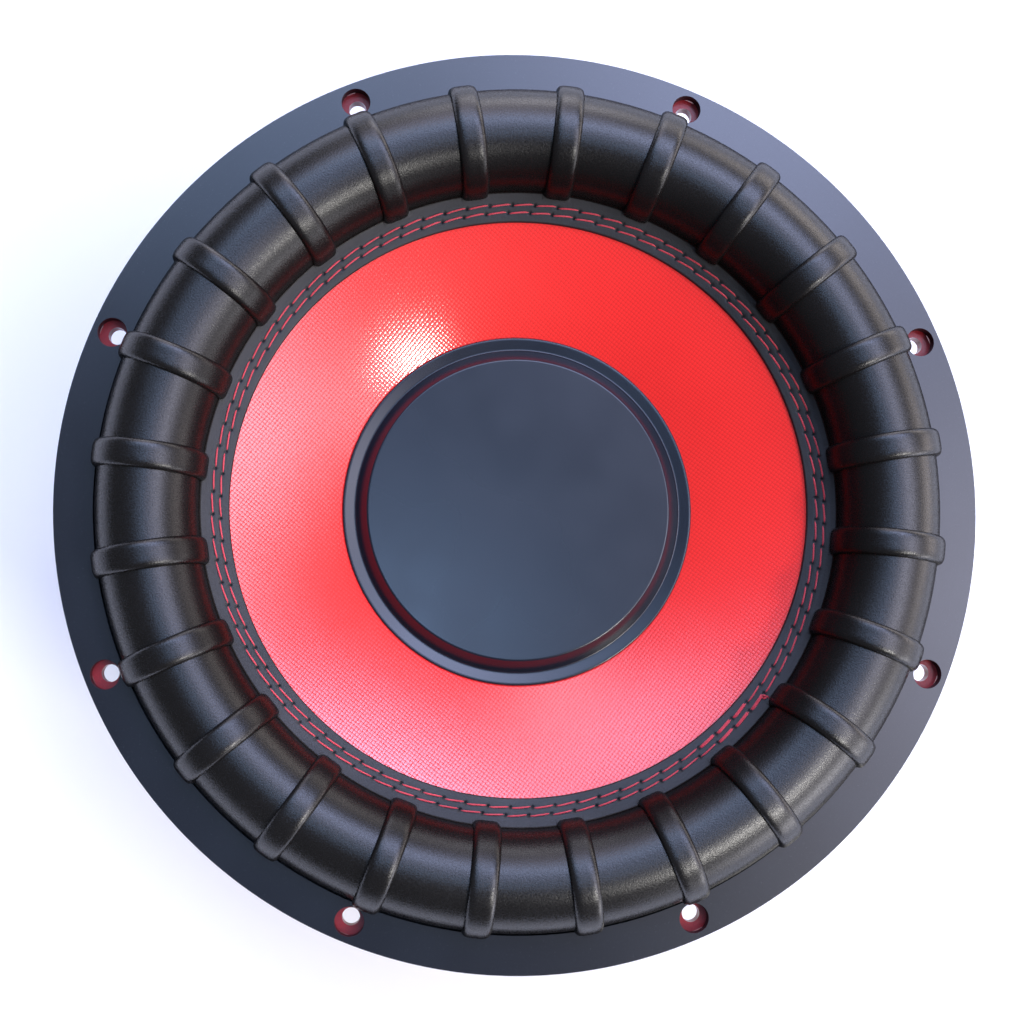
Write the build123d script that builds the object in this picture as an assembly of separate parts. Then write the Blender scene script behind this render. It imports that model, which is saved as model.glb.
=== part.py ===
from build123d import *
import math
import os

# A 12-inch class car subwoofer. Millimetres. The origin is the centre of the mounting
# plane, which is the rear face of the flange, and +Z points out of the front.

# Mounting flange and trim gasket
FLANGE_R = 157.5
FLANGE_T = 5.0
CUTOUT_R = 141.0
SEAT_INNER_R = 136.0
SEAT_OUTER_R = 147.2
SEAT_DEPTH = 1.5
EDGE_BREAK = 0.8
OVERCUT = 1.0
GASKET_OUTER_R = 159.0
GASKET_INNER_R = 145.6
GASKET_TOP_Z = 10.0
GASKET_HOLE_R = 5.0
GASKET_HOLE_CIRCLE_R = 152.0
BOLT_CIRCLE_R = 150.8
BOLT_HOLE_R = 3.0
BOLT_COUNT = 8
BOLT_PHASE = 22.5

# Basket casting
SKIRT_Z = -14.0
SHELF_Z = -60.0
SHELF_T = 4.5
SHELF_INNER_R = 86.0
SHELF_OUTER_R = 97.2
BASE_Z = -92.0
BASE_T = 6.0
BASE_INNER_R = 60.0
BASE_OUTER_R = 93.0
SKIRT_FOOT_R = 139.0
WALL_SHOULDER = (104.5, -58.0)
WALL_WAIST = (98.5, -63.0)
WALL_HEEL = (96.5, -84.0)
BASE_ROOT_R = 91.0
INSIDE_COVE = (92.0, -82.0)
INSIDE_SHELF_ROOT = (93.0, -67.0)
INSIDE_WALL_FOOT = (100.7, -57.0)
INSIDE_WALL_TOP = (134.0, -13.0)
SPOKE_COUNT = 6
SPOKE_PHASE = 30.0
WINDOW_TOP_Z = -17.0
WINDOW_FOOT_Z = -46.0
WINDOW_TOP_HALF = 57.0
WINDOW_FOOT_HALF = 46.0
WINDOW_CORNER_R = 7.0
VENT_TOP_Z = -69.0
VENT_FOOT_Z = -81.0
VENT_HALF = 38.0
VENT_CORNER_R = 5.0
CUT_START_X = 75.0
CUT_LENGTH = 80.0
FIN_T = 4.0
FIN_SPREAD = 4.0
FIN_OUTLINE = (
    (140.0, -2.0),
    (140.5, -17.0),
    (110.5, -60.0),
    (103.5, -71.0),
    (101.0, -87.0),
    (96.0, -92.0),
    (89.0, -91.0),
    (94.0, -82.0),
    (95.5, -65.0),
    (101.7, -58.5),
    (136.5, -14.0),
    (138.0, -2.0),
)

# Surround: a half-round roll on straight legs, with cross ribs and two flanges
ROLL_CENTRE_R = 127.3
ROLL_CENTRE_Z = 13.0
ROLL_R = 17.0
ROLL_T = 2.6
SURROUND_FLANGE_R = 147.0
GLUE_GAP = 0.05
RIB_COUNT = 24
RIB_PHASE = 8.6
RIB_WIDTH_DEG = 4.6
RIB_PROUD = 2.0
RIB_OUTER_END_DEG = -5.0
BAND_INNER_R = 100.5
BAND_INNER_Z = 3.93
BAND_SLOPE = 0.3235
BAND_T = 1.6

# Cone, woven skin and stitches. Thicknesses are measured along Z.
NECK_R = 39.15
NECK_FOOT_Z = -31.0
CONE_START = (40.6, -25.8)
CONE_MIDDLE = (70.0, -10.2)
CONE_KNEE_R = 99.0
LIP_R = 109.5
SKIN_T = 0.6
CONE_T = 2.0
STITCH_R = 0.4
STITCH_INNER_ROW_R = 103.5
STITCH_OUTER_ROW_R = 106.1

# Dust cap
CAP_RIM_R = 62.4
CAP_RIM_Z = -12.8
CAP_RIM_ROUND = 0.7
CAP_RIM_DROP = 0.1
CAP_RIM_UNDERCUT = 1.0
CAP_FOOT_Z = -22.0
CAP_CREASE_R = 57.8
CAP_CREASE_Z = -13.8
CAP_DISC_R = 53.6
CAP_DISC_Z = -8.4
CAP_T = 1.2
CAP_WALL_INSET = 0.6

# Voice coil
FORMER_INNER_R = 38.1
FORMER_OUTER_R = 38.7
FORMER_FOOT_Z = -120.0
FORMER_TOP_Z = -21.0
COLLAR_OUTER_R = 39.1
COLLAR_FOOT_Z = -72.0
COLLAR_TOP_Z = -28.5
COIL_LAYER_T = 0.75
COIL_FOOT_Z = -118.0
COIL_TOP_Z = -76.0

# Spiders and the ring between them
SPIDER_T = 0.7
SPIDER_RIM_R = 96.0
SPIDER_WAVE_START_R = 43.0
SPIDER_HALF_WAVE = 4.5
SPIDER_HALF_WAVES = 10
SPIDER_WAVE_HEIGHT = 1.4
SPIDER_NECK_H = 2.5
SPACER_T = 10.0
SPACER_INNER_R = 89.5
SPACER_OUTER_R = 96.5

# Motor
GAP_OUTER_R = 41.2
TOP_PLATE_R = 88.0
TOP_PLATE_T = 10.0
MAGNET_INNER_R = 50.0
MAGNET_OUTER_R = 95.0
MAGNET_T = 22.0
MAGNET_CHAMFER = 1.5
YOKE_R = 92.0
YOKE_T = 12.0
YOKE_CHAMFER = 6.0
POLE_R = 36.55
POLE_TOP_Z = -88.0
POLE_CHAMFER = 1.5
VENT_R = 15.0
VENT_FLARE_R = 20.0
VENT_FLARE_H = 8.8
GROOVE_OUTER_R = 45.0
GROOVE_DEPTH = 4.0
SLEEVE_INNER_R = 36.6
SLEEVE_OUTER_R = 37.3
SLEEVE_FOOT_Z = -140.0
SCREEN_R = 23.0
SCREEN_T = 1.0
SCREEN_SEAT_DEPTH = 1.2
SCREEN_CLEARANCE = 0.2
SCREEN_HOLE_R = 1.25
SCREEN_PITCH = 3.6
SCREEN_FREE_R = 18.5

# Frame screws, M5 socket heads
FRAME_SCREW_CIRCLE_R = 74.0
FRAME_SCREW_COUNT = 8
FRAME_SCREW_SHANK_R = 2.4
FRAME_SCREW_HOLE_R = 2.6
FRAME_SCREW_HEAD_R = 4.25
FRAME_SCREW_HEAD_H = 5.0
FRAME_SCREW_DEPTH = 12.0
HEX_ACROSS_FLATS = 4.0
HEX_DEPTH = 2.5

# Push terminals. One is built on the +X side and turned half round for the other.
PAD_INNER_X = 97.0
PAD_FACE_X = 104.0
PAD_FOOT_Z = -66.0
PAD_TOP_Z = -47.0
PAD_HALF_W = 20.5
PAD_CHEEK_T = 4.0
POCKET_BELOW = 4.0
POCKET_ABOVE = 2.0
POCKET_END_X = 151.0
PAD_HOLE_START_X = 87.0
TERMINAL_BASE_T = 2.0
TERMINAL_FRONT_X = 120.0
TERMINAL_HALF_W = 18.0
TERMINAL_FOOT_Z = -67.0
TERMINAL_TOP_Z = -42.0
TERMINAL_ROUND = 1.5
HOUSING_GAP = 0.1
POST_Y = 10.0
BUTTON_Z = -49.5
BUTTON_R = 4.4
BUTTON_GUIDE_R = 4.65
BUTTON_GUIDE_T = 2.5
BUTTON_CAVITY_R = 5.9
BUTTON_COLLAR_R = 5.6
BUTTON_COLLAR_T = 2.7
BUTTON_STUD_R = 2.8
BUTTON_STUD_L = 3.7
BUTTON_STOP_GAP = 0.3
BUTTON_PROUD = 5.5
BUTTON_ROUND = 0.9
SPRING_MEAN_R = 4.2
SPRING_WIRE_R = 0.45
SPRING_END_GAP = 0.1
WIRE_HOLE_Z = -61.0
WIRE_HOLE_R = 2.6
WIRE_HOLE_DEPTH = 10.0
TERMINAL_SCREW_ZS = (-50.5, -63.5)
TERMINAL_SCREW_R = 1.5
TERMINAL_SCREW_HOLE_R = 1.6
TERMINAL_SCREW_HEAD_R = 2.9
TERMINAL_SCREW_HEAD_H = 1.8
TERMINAL_SCREW_SEAT_R = 3.1
TERMINAL_SCREW_SEAT_DEPTH = 2.0
TERMINAL_SCREW_LENGTH = 15.0
SLOT_W = 0.8
SLOT_DEPTH = 0.9
TAB_INNER_X = 92.0
TAB_W = 6.0
TAB_T = 1.0
TAB_Z = -45.0
TAB_CLEARANCE = 0.1
TAB_HOLE_R = 1.0
TAB_HOLE_INSET = 2.5

# Tinsel leads, each in a radial plane: radius and height along its route
LEAD_R = 1.2
LEAD_ROUTE = (
    (39.6, -44.6),
    (49.5, -44.1),
    (60.0, -38.6),
    (71.5, -35.4),
    (83.0, -38.0),
    (91.0, -42.9),
    (99.0, -43.2),
)
LEAD_ANCHOR_R = 96.5
ARC_SHARE = 0.45

# Heights and places that follow from the dimensions above
seat_z = FLANGE_T - SEAT_DEPTH
base_top_z = BASE_Z + BASE_T
spider_lower_z = SHELF_Z + SPIDER_T / 2
spacer_foot_z = SHELF_Z + SPIDER_T
spacer_top_z = spacer_foot_z + SPACER_T
spider_upper_z = spacer_top_z + SPIDER_T / 2
top_plate_foot_z = BASE_Z - TOP_PLATE_T
magnet_joint_z = top_plate_foot_z - MAGNET_T
yoke_top_z = magnet_joint_z - MAGNET_T
yoke_foot_z = yoke_top_z - YOKE_T
housing_rear_x = PAD_FACE_X + TERMINAL_BASE_T
guide_x = TERMINAL_FRONT_X - BUTTON_GUIDE_T
collar_front_x = guide_x - BUTTON_STOP_GAP
collar_rear_x = collar_front_x - BUTTON_COLLAR_T
roll_outer_r = ROLL_CENTRE_R + ROLL_R
roll_inner_r = ROLL_CENTRE_R - ROLL_R


def band_top(radius):
    """Height of the top of the surround's inner band at a radius."""
    return BAND_INNER_Z + BAND_SLOPE * (radius - BAND_INNER_R)


def skin_top(radius):
    """Height of the top of the cone's lip, just under the band, at a radius."""
    return band_top(radius) - BAND_T - GLUE_GAP


def turned(points):
    """A solid of revolution about Z from a closed outline of (radius, height) points."""
    return revolve(Plane.XZ * make_face(Polyline(*points, close=True)), Axis.Z)


def turned_edges(edges):
    """A solid of revolution about Z from the edges of a closed outline."""
    return revolve(Plane.XZ * make_face(edges), Axis.Z)


def ring(inner_r, outer_r, foot_z, top_z):
    return turned([(inner_r, foot_z), (outer_r, foot_z), (outer_r, top_z), (inner_r, top_z)])


def rod_z(radius, foot_z, top_z, x=0, y=0):
    middle = (foot_z + top_z) / 2
    return Pos(x, y, middle) * Cylinder(radius, top_z - foot_z)


def rod_x(radius, rear_x, front_x, y=0, z=0):
    middle = (rear_x + front_x) / 2
    return Pos(middle, y, z) * Rot(0, 90, 0) * Cylinder(radius, front_x - rear_x)


def block(low, high):
    size = [high[i] - low[i] for i in range(3)]
    middle = [(high[i] + low[i]) / 2 for i in range(3)]
    return Pos(*middle) * Box(*size)


def around(shape, count, phase=0.0):
    """Copies of a shape spaced evenly about Z."""
    return [Rot(0, 0, phase + i * 360 / count) * shape for i in range(count)]


# ---- frame ----

def basket_shell():
    """The casting's turned shape: flange, skirt, sloping wall, spider shelf and base ring."""
    return turned([
        (SEAT_INNER_R, seat_z),
        (SEAT_OUTER_R, seat_z),
        (SEAT_OUTER_R, FLANGE_T),
        (FLANGE_R - EDGE_BREAK, FLANGE_T),
        (FLANGE_R, FLANGE_T - EDGE_BREAK),
        (FLANGE_R, EDGE_BREAK),
        (FLANGE_R - EDGE_BREAK, 0),
        (CUTOUT_R, 0),
        (SKIRT_FOOT_R, SKIRT_Z),
        WALL_SHOULDER,
        WALL_WAIST,
        WALL_HEEL,
        (BASE_OUTER_R, BASE_Z),
        (BASE_INNER_R, BASE_Z),
        (BASE_INNER_R, base_top_z),
        (BASE_ROOT_R, base_top_z),
        INSIDE_COVE,
        INSIDE_SHELF_ROOT,
        (SHELF_INNER_R, SHELF_Z - SHELF_T),
        (SHELF_INNER_R, SHELF_Z),
        (SHELF_OUTER_R, SHELF_Z),
        INSIDE_WALL_FOOT,
        INSIDE_WALL_TOP,
        (SEAT_INNER_R, 0),
    ])


def basket_envelope():
    """Everything inside the sloping wall's outer face, down to the base."""
    return turned([
        (0, 0),
        (CUTOUT_R, 0),
        (SKIRT_FOOT_R, SKIRT_Z),
        WALL_SHOULDER,
        WALL_WAIST,
        WALL_HEEL,
        (0, WALL_HEEL[1]),
    ])


def radial_cut(points, corner_r):
    """A round-cornered opening cut outward along +X, from points across and up."""
    face = make_face(Polyline(*points, close=True))
    face = fillet(face.vertices(), corner_r)
    return extrude(Plane.YZ.offset(CUT_START_X) * face, amount=CUT_LENGTH)


def upper_window():
    return radial_cut([
        (-WINDOW_TOP_HALF, WINDOW_TOP_Z),
        (WINDOW_TOP_HALF, WINDOW_TOP_Z),
        (WINDOW_FOOT_HALF, WINDOW_FOOT_Z),
        (-WINDOW_FOOT_HALF, WINDOW_FOOT_Z),
    ], WINDOW_CORNER_R)


def lower_vent():
    return radial_cut([
        (-VENT_HALF, VENT_TOP_Z),
        (VENT_HALF, VENT_TOP_Z),
        (VENT_HALF, VENT_FOOT_Z),
        (-VENT_HALF, VENT_FOOT_Z),
    ], VENT_CORNER_R)


def spoke_fin():
    """An upright stiffening fin along the outside of a spoke, inside the cut-out radius."""
    outline = Plane.XZ.offset(-FIN_T / 2) * make_face(Polyline(*FIN_OUTLINE, close=True))
    return extrude(outline, amount=FIN_T)


def terminal_pad():
    """The flat inset seat of a push terminal, with cheeks that join it to the wall."""
    half = PAD_HALF_W + PAD_CHEEK_T
    return block((PAD_INNER_X, -half, PAD_FOOT_Z), (CUTOUT_R, half, PAD_TOP_Z)) & basket_envelope()


def terminal_pocket():
    """The space cleared for a push terminal, open outward and upward."""
    return block((PAD_FACE_X, -PAD_HALF_W, PAD_FOOT_Z - POCKET_BELOW),
                 (POCKET_END_X, PAD_HALF_W, TERMINAL_TOP_Z + POCKET_ABOVE))


def make_basket():
    casting = basket_shell()
    casting += around(terminal_pad(), 2)
    for spoke in range(SPOKE_COUNT):
        spoke_angle = SPOKE_PHASE + spoke * 360 / SPOKE_COUNT
        for side in (-FIN_SPREAD, FIN_SPREAD):
            casting += Rot(0, 0, spoke_angle + side) * spoke_fin()
    casting -= around(upper_window(), SPOKE_COUNT)
    casting -= around(lower_vent(), SPOKE_COUNT)
    casting -= around(terminal_pocket(), 2)
    for turn in (0, 180):
        for z in TERMINAL_SCREW_ZS:
            screw_hole = rod_x(TERMINAL_SCREW_HOLE_R, PAD_HOLE_START_X, PAD_FACE_X + OVERCUT, z=z)
            casting -= Rot(0, 0, turn) * screw_hole
    bolt_hole = rod_z(BOLT_HOLE_R, -OVERCUT, FLANGE_T + OVERCUT, x=BOLT_CIRCLE_R)
    casting -= around(bolt_hole, BOLT_COUNT, BOLT_PHASE)
    frame_hole = rod_z(FRAME_SCREW_HOLE_R, BASE_Z - OVERCUT, base_top_z + OVERCUT, x=FRAME_SCREW_CIRCLE_R)
    casting -= around(frame_hole, FRAME_SCREW_COUNT, BOLT_PHASE)
    return casting


def make_mounting_gasket():
    gasket = ring(GASKET_INNER_R, GASKET_OUTER_R, FLANGE_T, GASKET_TOP_Z)
    gasket = fillet(gasket.edges().group_by(Axis.Z)[-1], EDGE_BREAK)
    hole = rod_z(GASKET_HOLE_R, FLANGE_T - OVERCUT, GASKET_TOP_Z + OVERCUT, x=GASKET_HOLE_CIRCLE_R)
    return gasket - around(hole, BOLT_COUNT, BOLT_PHASE)


# ---- moving cone ----

def surround_skin():
    """The plain turned surround: outer flange, high roll and inner band."""
    inside_r = ROLL_R - ROLL_T
    leg_inner_r = ROLL_CENTRE_R - inside_r
    leg_outer_r = ROLL_CENTRE_R + inside_r
    foot_z = seat_z + GLUE_GAP
    flange_top_z = FLANGE_T - GLUE_GAP
    return turned_edges([
        Polyline((leg_outer_r, ROLL_CENTRE_Z), (leg_outer_r, foot_z),
                 (SURROUND_FLANGE_R, foot_z), (SURROUND_FLANGE_R, flange_top_z),
                 (roll_outer_r, flange_top_z), (roll_outer_r, ROLL_CENTRE_Z)),
        ThreePointArc((roll_outer_r, ROLL_CENTRE_Z), (ROLL_CENTRE_R, ROLL_CENTRE_Z + ROLL_R),
                      (roll_inner_r, ROLL_CENTRE_Z)),
        Polyline((roll_inner_r, ROLL_CENTRE_Z), (roll_inner_r, band_top(roll_inner_r)),
                 (BAND_INNER_R, BAND_INNER_Z), (BAND_INNER_R, BAND_INNER_Z - BAND_T),
                 (leg_inner_r, band_top(leg_inner_r) - BAND_T), (leg_inner_r, ROLL_CENTRE_Z)),
        ThreePointArc((leg_inner_r, ROLL_CENTRE_Z), (ROLL_CENTRE_R, ROLL_CENTRE_Z + inside_r),
                      (leg_outer_r, ROLL_CENTRE_Z)),
    ])


def surround_rib():
    """One cross rib: a band over the roll, from above the gasket down to the inner band."""
    buried_r = ROLL_R - ROLL_T / 2
    proud_r = ROLL_R + RIB_PROUD

    def on_roll(radius, degrees):
        angle = math.radians(degrees)
        return (ROLL_CENTRE_R + radius * math.cos(angle), ROLL_CENTRE_Z + radius * math.sin(angle))

    foot_r = ROLL_CENTRE_R - proud_r
    foot_z = band_top(roll_inner_r) - BAND_T / 2
    profile = Plane.XZ * make_face([
        Line(on_roll(buried_r, RIB_OUTER_END_DEG), on_roll(proud_r, RIB_OUTER_END_DEG)),
        ThreePointArc(on_roll(proud_r, RIB_OUTER_END_DEG), on_roll(proud_r, 90), on_roll(proud_r, 180)),
        Polyline((foot_r, ROLL_CENTRE_Z), (foot_r, foot_z), (ROLL_CENTRE_R - buried_r, foot_z),
                 (ROLL_CENTRE_R - buried_r, ROLL_CENTRE_Z)),
        ThreePointArc(on_roll(buried_r, 180), on_roll(buried_r, 90), on_roll(buried_r, RIB_OUTER_END_DEG)),
    ])
    return Rot(0, 0, -RIB_WIDTH_DEG / 2) * revolve(profile, Axis.Z, revolution_arc=RIB_WIDTH_DEG)


def make_surround():
    return surround_skin() + around(surround_rib(), RIB_COUNT, RIB_PHASE)


def cone_line(drop):
    """The cone's curved slope and its flatter lip, lowered by a drop: arc, then line."""
    start = (CONE_START[0], CONE_START[1] - drop)
    middle = (CONE_MIDDLE[0], CONE_MIDDLE[1] - drop)
    knee = (CONE_KNEE_R, skin_top(CONE_KNEE_R) - drop)
    lip = (LIP_R, skin_top(LIP_R) - drop)
    return start, lip, [ThreePointArc(start, middle, knee), Line(knee, lip)]


def make_cone_skin():
    top_start, top_lip, top_edges = cone_line(0)
    foot_start, foot_lip, foot_edges = cone_line(SKIN_T)
    return turned_edges(top_edges + [Line(top_lip, foot_lip), Line(foot_start, top_start)] + foot_edges)


def make_cone_body():
    """The stiff cone, with a short tube at its neck that is glued to the collar."""
    top_start, top_lip, top_edges = cone_line(SKIN_T + GLUE_GAP)
    foot_start, foot_lip, foot_edges = cone_line(SKIN_T + GLUE_GAP + CONE_T)
    neck = Polyline(top_start, (NECK_R, top_start[1]), (NECK_R, NECK_FOOT_Z),
                    (foot_start[0], NECK_FOOT_Z), foot_start)
    return turned_edges(top_edges + [Line(top_lip, foot_lip), neck] + foot_edges)


def stitch_row(row_r):
    """A row of thread on the band, as one thin hoop."""
    centre_z = band_top(row_r) + STITCH_R + GLUE_GAP
    return revolve(Plane.XZ * Pos(row_r, centre_z) * Circle(STITCH_R), Axis.Z)


def make_dust_cap():
    """A cap like a shallow hat: rounded rim, lip that falls inward, steep wall, flat raised disc."""
    cap = turned([
        (0, CAP_DISC_Z),
        (CAP_DISC_R, CAP_DISC_Z),
        (CAP_CREASE_R, CAP_CREASE_Z),
        (CAP_RIM_R - 2 * CAP_RIM_ROUND, CAP_RIM_Z - CAP_RIM_DROP),
        (CAP_RIM_R - CAP_RIM_ROUND, CAP_RIM_Z),
        (CAP_RIM_R, CAP_RIM_Z - CAP_RIM_ROUND),
        (CAP_RIM_R, CAP_FOOT_Z),
        (CAP_RIM_R - CAP_T, CAP_FOOT_Z),
        (CAP_RIM_R - CAP_T, CAP_RIM_Z - CAP_T - CAP_RIM_UNDERCUT),
        (CAP_CREASE_R - CAP_WALL_INSET, CAP_CREASE_Z - CAP_T),
        (CAP_DISC_R - CAP_WALL_INSET, CAP_DISC_Z - CAP_T),
        (0, CAP_DISC_Z - CAP_T),
    ])
    start, lip, edges = cone_line(-GLUE_GAP)
    below_skin = turned_edges(edges + [Polyline(lip, (lip[0], start[1]), start)])
    return cap - below_skin


def make_spider(rim_z, wave_sign):
    """A corrugated disc with a flat rim and a short upright neck."""
    half_t = SPIDER_T / 2
    turn = 2 * math.atan(2 * SPIDER_WAVE_HEIGHT / SPIDER_HALF_WAVE)

    def junction(index, side):
        tilt = turn * wave_sign * (-1) ** index
        radius = SPIDER_WAVE_START_R + index * SPIDER_HALF_WAVE
        return (radius - side * half_t * math.sin(tilt), rim_z + side * half_t * math.cos(tilt))

    def crest(index, side):
        radius = SPIDER_WAVE_START_R + (index + 0.5) * SPIDER_HALF_WAVE
        return (radius, rim_z + wave_sign * (-1) ** index * SPIDER_WAVE_HEIGHT + side * half_t)

    waves = []
    for side in (-1, 1):
        for i in range(SPIDER_HALF_WAVES):
            waves.append(ThreePointArc(junction(i, side), crest(i, side), junction(i + 1, side)))
    neck_top_z = rim_z + SPIDER_NECK_H
    neck_outer_r = NECK_R + SPIDER_T
    neck = Polyline(junction(0, 1), (neck_outer_r, rim_z + half_t), (neck_outer_r, neck_top_z),
                    (NECK_R, neck_top_z), (NECK_R, rim_z - half_t), junction(0, -1))
    rim = Polyline(junction(SPIDER_HALF_WAVES, 1), (SPIDER_RIM_R, rim_z + half_t),
                   (SPIDER_RIM_R, rim_z - half_t), junction(SPIDER_HALF_WAVES, -1))
    return turned_edges(waves + [neck, rim])


def make_coil_layer(layer):
    inner_r = FORMER_OUTER_R + GLUE_GAP + layer * (COIL_LAYER_T + GLUE_GAP)
    return ring(inner_r, inner_r + COIL_LAYER_T, COIL_FOOT_Z, COIL_TOP_Z)


# ---- motor ----

def make_top_plate():
    plate = turned([
        (GAP_OUTER_R, top_plate_foot_z),
        (TOP_PLATE_R - EDGE_BREAK, top_plate_foot_z),
        (TOP_PLATE_R, top_plate_foot_z + EDGE_BREAK),
        (TOP_PLATE_R, BASE_Z - EDGE_BREAK),
        (TOP_PLATE_R - EDGE_BREAK, BASE_Z),
        (GAP_OUTER_R, BASE_Z),
    ])
    hole = rod_z(FRAME_SCREW_HOLE_R, top_plate_foot_z - OVERCUT, BASE_Z + OVERCUT, x=FRAME_SCREW_CIRCLE_R)
    return plate - around(hole, FRAME_SCREW_COUNT, BOLT_PHASE)


def make_magnet(top_z):
    foot_z = top_z - MAGNET_T
    return turned([
        (MAGNET_INNER_R, foot_z),
        (MAGNET_OUTER_R - MAGNET_CHAMFER, foot_z),
        (MAGNET_OUTER_R, foot_z + MAGNET_CHAMFER),
        (MAGNET_OUTER_R, top_z - MAGNET_CHAMFER),
        (MAGNET_OUTER_R - MAGNET_CHAMFER, top_z),
        (MAGNET_INNER_R, top_z),
    ])


def make_t_yoke():
    """Back plate and vented pole in one forging."""
    seat_r = SCREEN_R + SCREEN_CLEARANCE
    screen_seat_z = yoke_foot_z + SCREEN_SEAT_DEPTH
    return turned([
        (YOKE_R, yoke_top_z),
        (YOKE_R, yoke_foot_z + YOKE_CHAMFER),
        (YOKE_R - YOKE_CHAMFER, yoke_foot_z),
        (seat_r, yoke_foot_z),
        (seat_r, screen_seat_z),
        (VENT_FLARE_R, screen_seat_z),
        (VENT_R, screen_seat_z + VENT_FLARE_H),
        (VENT_R, POLE_TOP_Z),
        (POLE_R - POLE_CHAMFER, POLE_TOP_Z),
        (POLE_R, POLE_TOP_Z - POLE_CHAMFER),
        (POLE_R, yoke_top_z - GROOVE_DEPTH),
        (GROOVE_OUTER_R, yoke_top_z - GROOVE_DEPTH),
        (GROOVE_OUTER_R, yoke_top_z),
    ])


def make_vent_screen():
    """A flat disc with a hexagonal field of round holes."""
    top_z = yoke_foot_z + SCREEN_SEAT_DEPTH
    screen = rod_z(SCREEN_R, top_z - SCREEN_T, top_z)
    row_pitch = SCREEN_PITCH * math.sin(math.radians(60))
    reach = int(SCREEN_FREE_R / row_pitch) + 1
    holes = []
    for row in range(-reach, reach + 1):
        for column in range(-reach, reach + 1):
            x = (column + 0.5 * (row % 2)) * SCREEN_PITCH
            y = row * row_pitch
            if math.hypot(x, y) + SCREEN_HOLE_R <= SCREEN_FREE_R:
                holes.append(rod_z(SCREEN_HOLE_R, top_z - SCREEN_T - OVERCUT, top_z + OVERCUT, x=x, y=y))
    return screen - holes


def frame_screw():
    """A socket-head screw, head down on the base ring and shank into the top plate."""
    head_top_z = base_top_z + FRAME_SCREW_HEAD_H
    screw = rod_z(FRAME_SCREW_HEAD_R, base_top_z, head_top_z)
    screw += rod_z(FRAME_SCREW_SHANK_R, base_top_z - FRAME_SCREW_DEPTH, base_top_z)
    socket = RegularPolygon(HEX_ACROSS_FLATS / 2, 6, major_radius=False)
    screw -= Pos(0, 0, head_top_z - HEX_DEPTH) * extrude(socket, amount=HEX_DEPTH)
    return Pos(FRAME_SCREW_CIRCLE_R, 0, 0) * screw


# ---- push terminals, on the +X side ----

def terminal_screw_holes(rear_x, front_x):
    return [rod_x(TERMINAL_SCREW_HOLE_R, rear_x, front_x, z=z) for z in TERMINAL_SCREW_ZS]


def make_terminal_housing():
    """One push terminal's moulding. Its inner side, with half of each screw hole, meets its twin's."""
    body = block((housing_rear_x, HOUSING_GAP / 2, TERMINAL_FOOT_Z),
                 (TERMINAL_FRONT_X, TERMINAL_HALF_W, TERMINAL_TOP_Z))
    outer_side = body.faces().sort_by(Axis.Y)[-1]
    front = body.faces().sort_by(Axis.X)[-1]
    outer_edges = outer_side.edges().filter_by(Axis.X)
    front_edges = front.edges() - front.edges().sort_by(Axis.Y)[:1]
    body = fillet(outer_edges + front_edges, TERMINAL_ROUND)
    body -= rod_x(BUTTON_CAVITY_R, housing_rear_x, guide_x, y=POST_Y, z=BUTTON_Z)
    body -= rod_x(BUTTON_GUIDE_R, guide_x, TERMINAL_FRONT_X, y=POST_Y, z=BUTTON_Z)
    body -= rod_x(WIRE_HOLE_R, TERMINAL_FRONT_X - WIRE_HOLE_DEPTH, TERMINAL_FRONT_X, y=POST_Y, z=WIRE_HOLE_Z)
    body -= terminal_screw_holes(housing_rear_x, TERMINAL_FRONT_X)
    for z in TERMINAL_SCREW_ZS:
        seat_x = TERMINAL_FRONT_X - TERMINAL_SCREW_SEAT_DEPTH
        body -= rod_x(TERMINAL_SCREW_SEAT_R, seat_x, TERMINAL_FRONT_X, z=z)
    return body


def make_terminal_base():
    base = block((PAD_FACE_X, -TERMINAL_HALF_W, TERMINAL_FOOT_Z),
                 (housing_rear_x, TERMINAL_HALF_W, TERMINAL_TOP_Z))
    base = fillet(base.edges().filter_by(Axis.X), TERMINAL_ROUND)
    base -= terminal_screw_holes(PAD_FACE_X, housing_rear_x)
    half_w = TAB_W / 2 + TAB_CLEARANCE
    half_t = TAB_T / 2 + TAB_CLEARANCE
    for y in (-POST_Y, POST_Y):
        base -= block((PAD_FACE_X, y - half_w, TAB_Z - half_t), (housing_rear_x, y + half_w, TAB_Z + half_t))
    return base


def make_button():
    """A push button: centring stud, retaining collar and round-ended shaft."""
    front_x = TERMINAL_FRONT_X + BUTTON_PROUD
    shaft = rod_x(BUTTON_R, collar_rear_x, front_x)
    shaft = fillet(shaft.edges().sort_by(Axis.X)[-1], BUTTON_ROUND)
    collar = rod_x(BUTTON_COLLAR_R, collar_rear_x, collar_front_x)
    stud = rod_x(BUTTON_STUD_R, collar_rear_x - BUTTON_STUD_L, collar_rear_x)
    return shaft + collar + stud


def make_button_spring():
    """The envelope of the coil spring behind a button."""
    rear_x = housing_rear_x + SPRING_END_GAP
    front_x = collar_rear_x - SPRING_END_GAP
    outside = rod_x(SPRING_MEAN_R + SPRING_WIRE_R, rear_x, front_x)
    return outside - rod_x(SPRING_MEAN_R - SPRING_WIRE_R, rear_x, front_x)


def solder_tab(y):
    tab = block((TAB_INNER_X, y - TAB_W / 2, TAB_Z - TAB_T / 2),
                (housing_rear_x - TAB_CLEARANCE, y + TAB_W / 2, TAB_Z + TAB_T / 2))
    return tab - rod_z(TAB_HOLE_R, TAB_Z - TAB_T, TAB_Z + TAB_T, x=TAB_INNER_X + TAB_HOLE_INSET, y=y)


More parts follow.
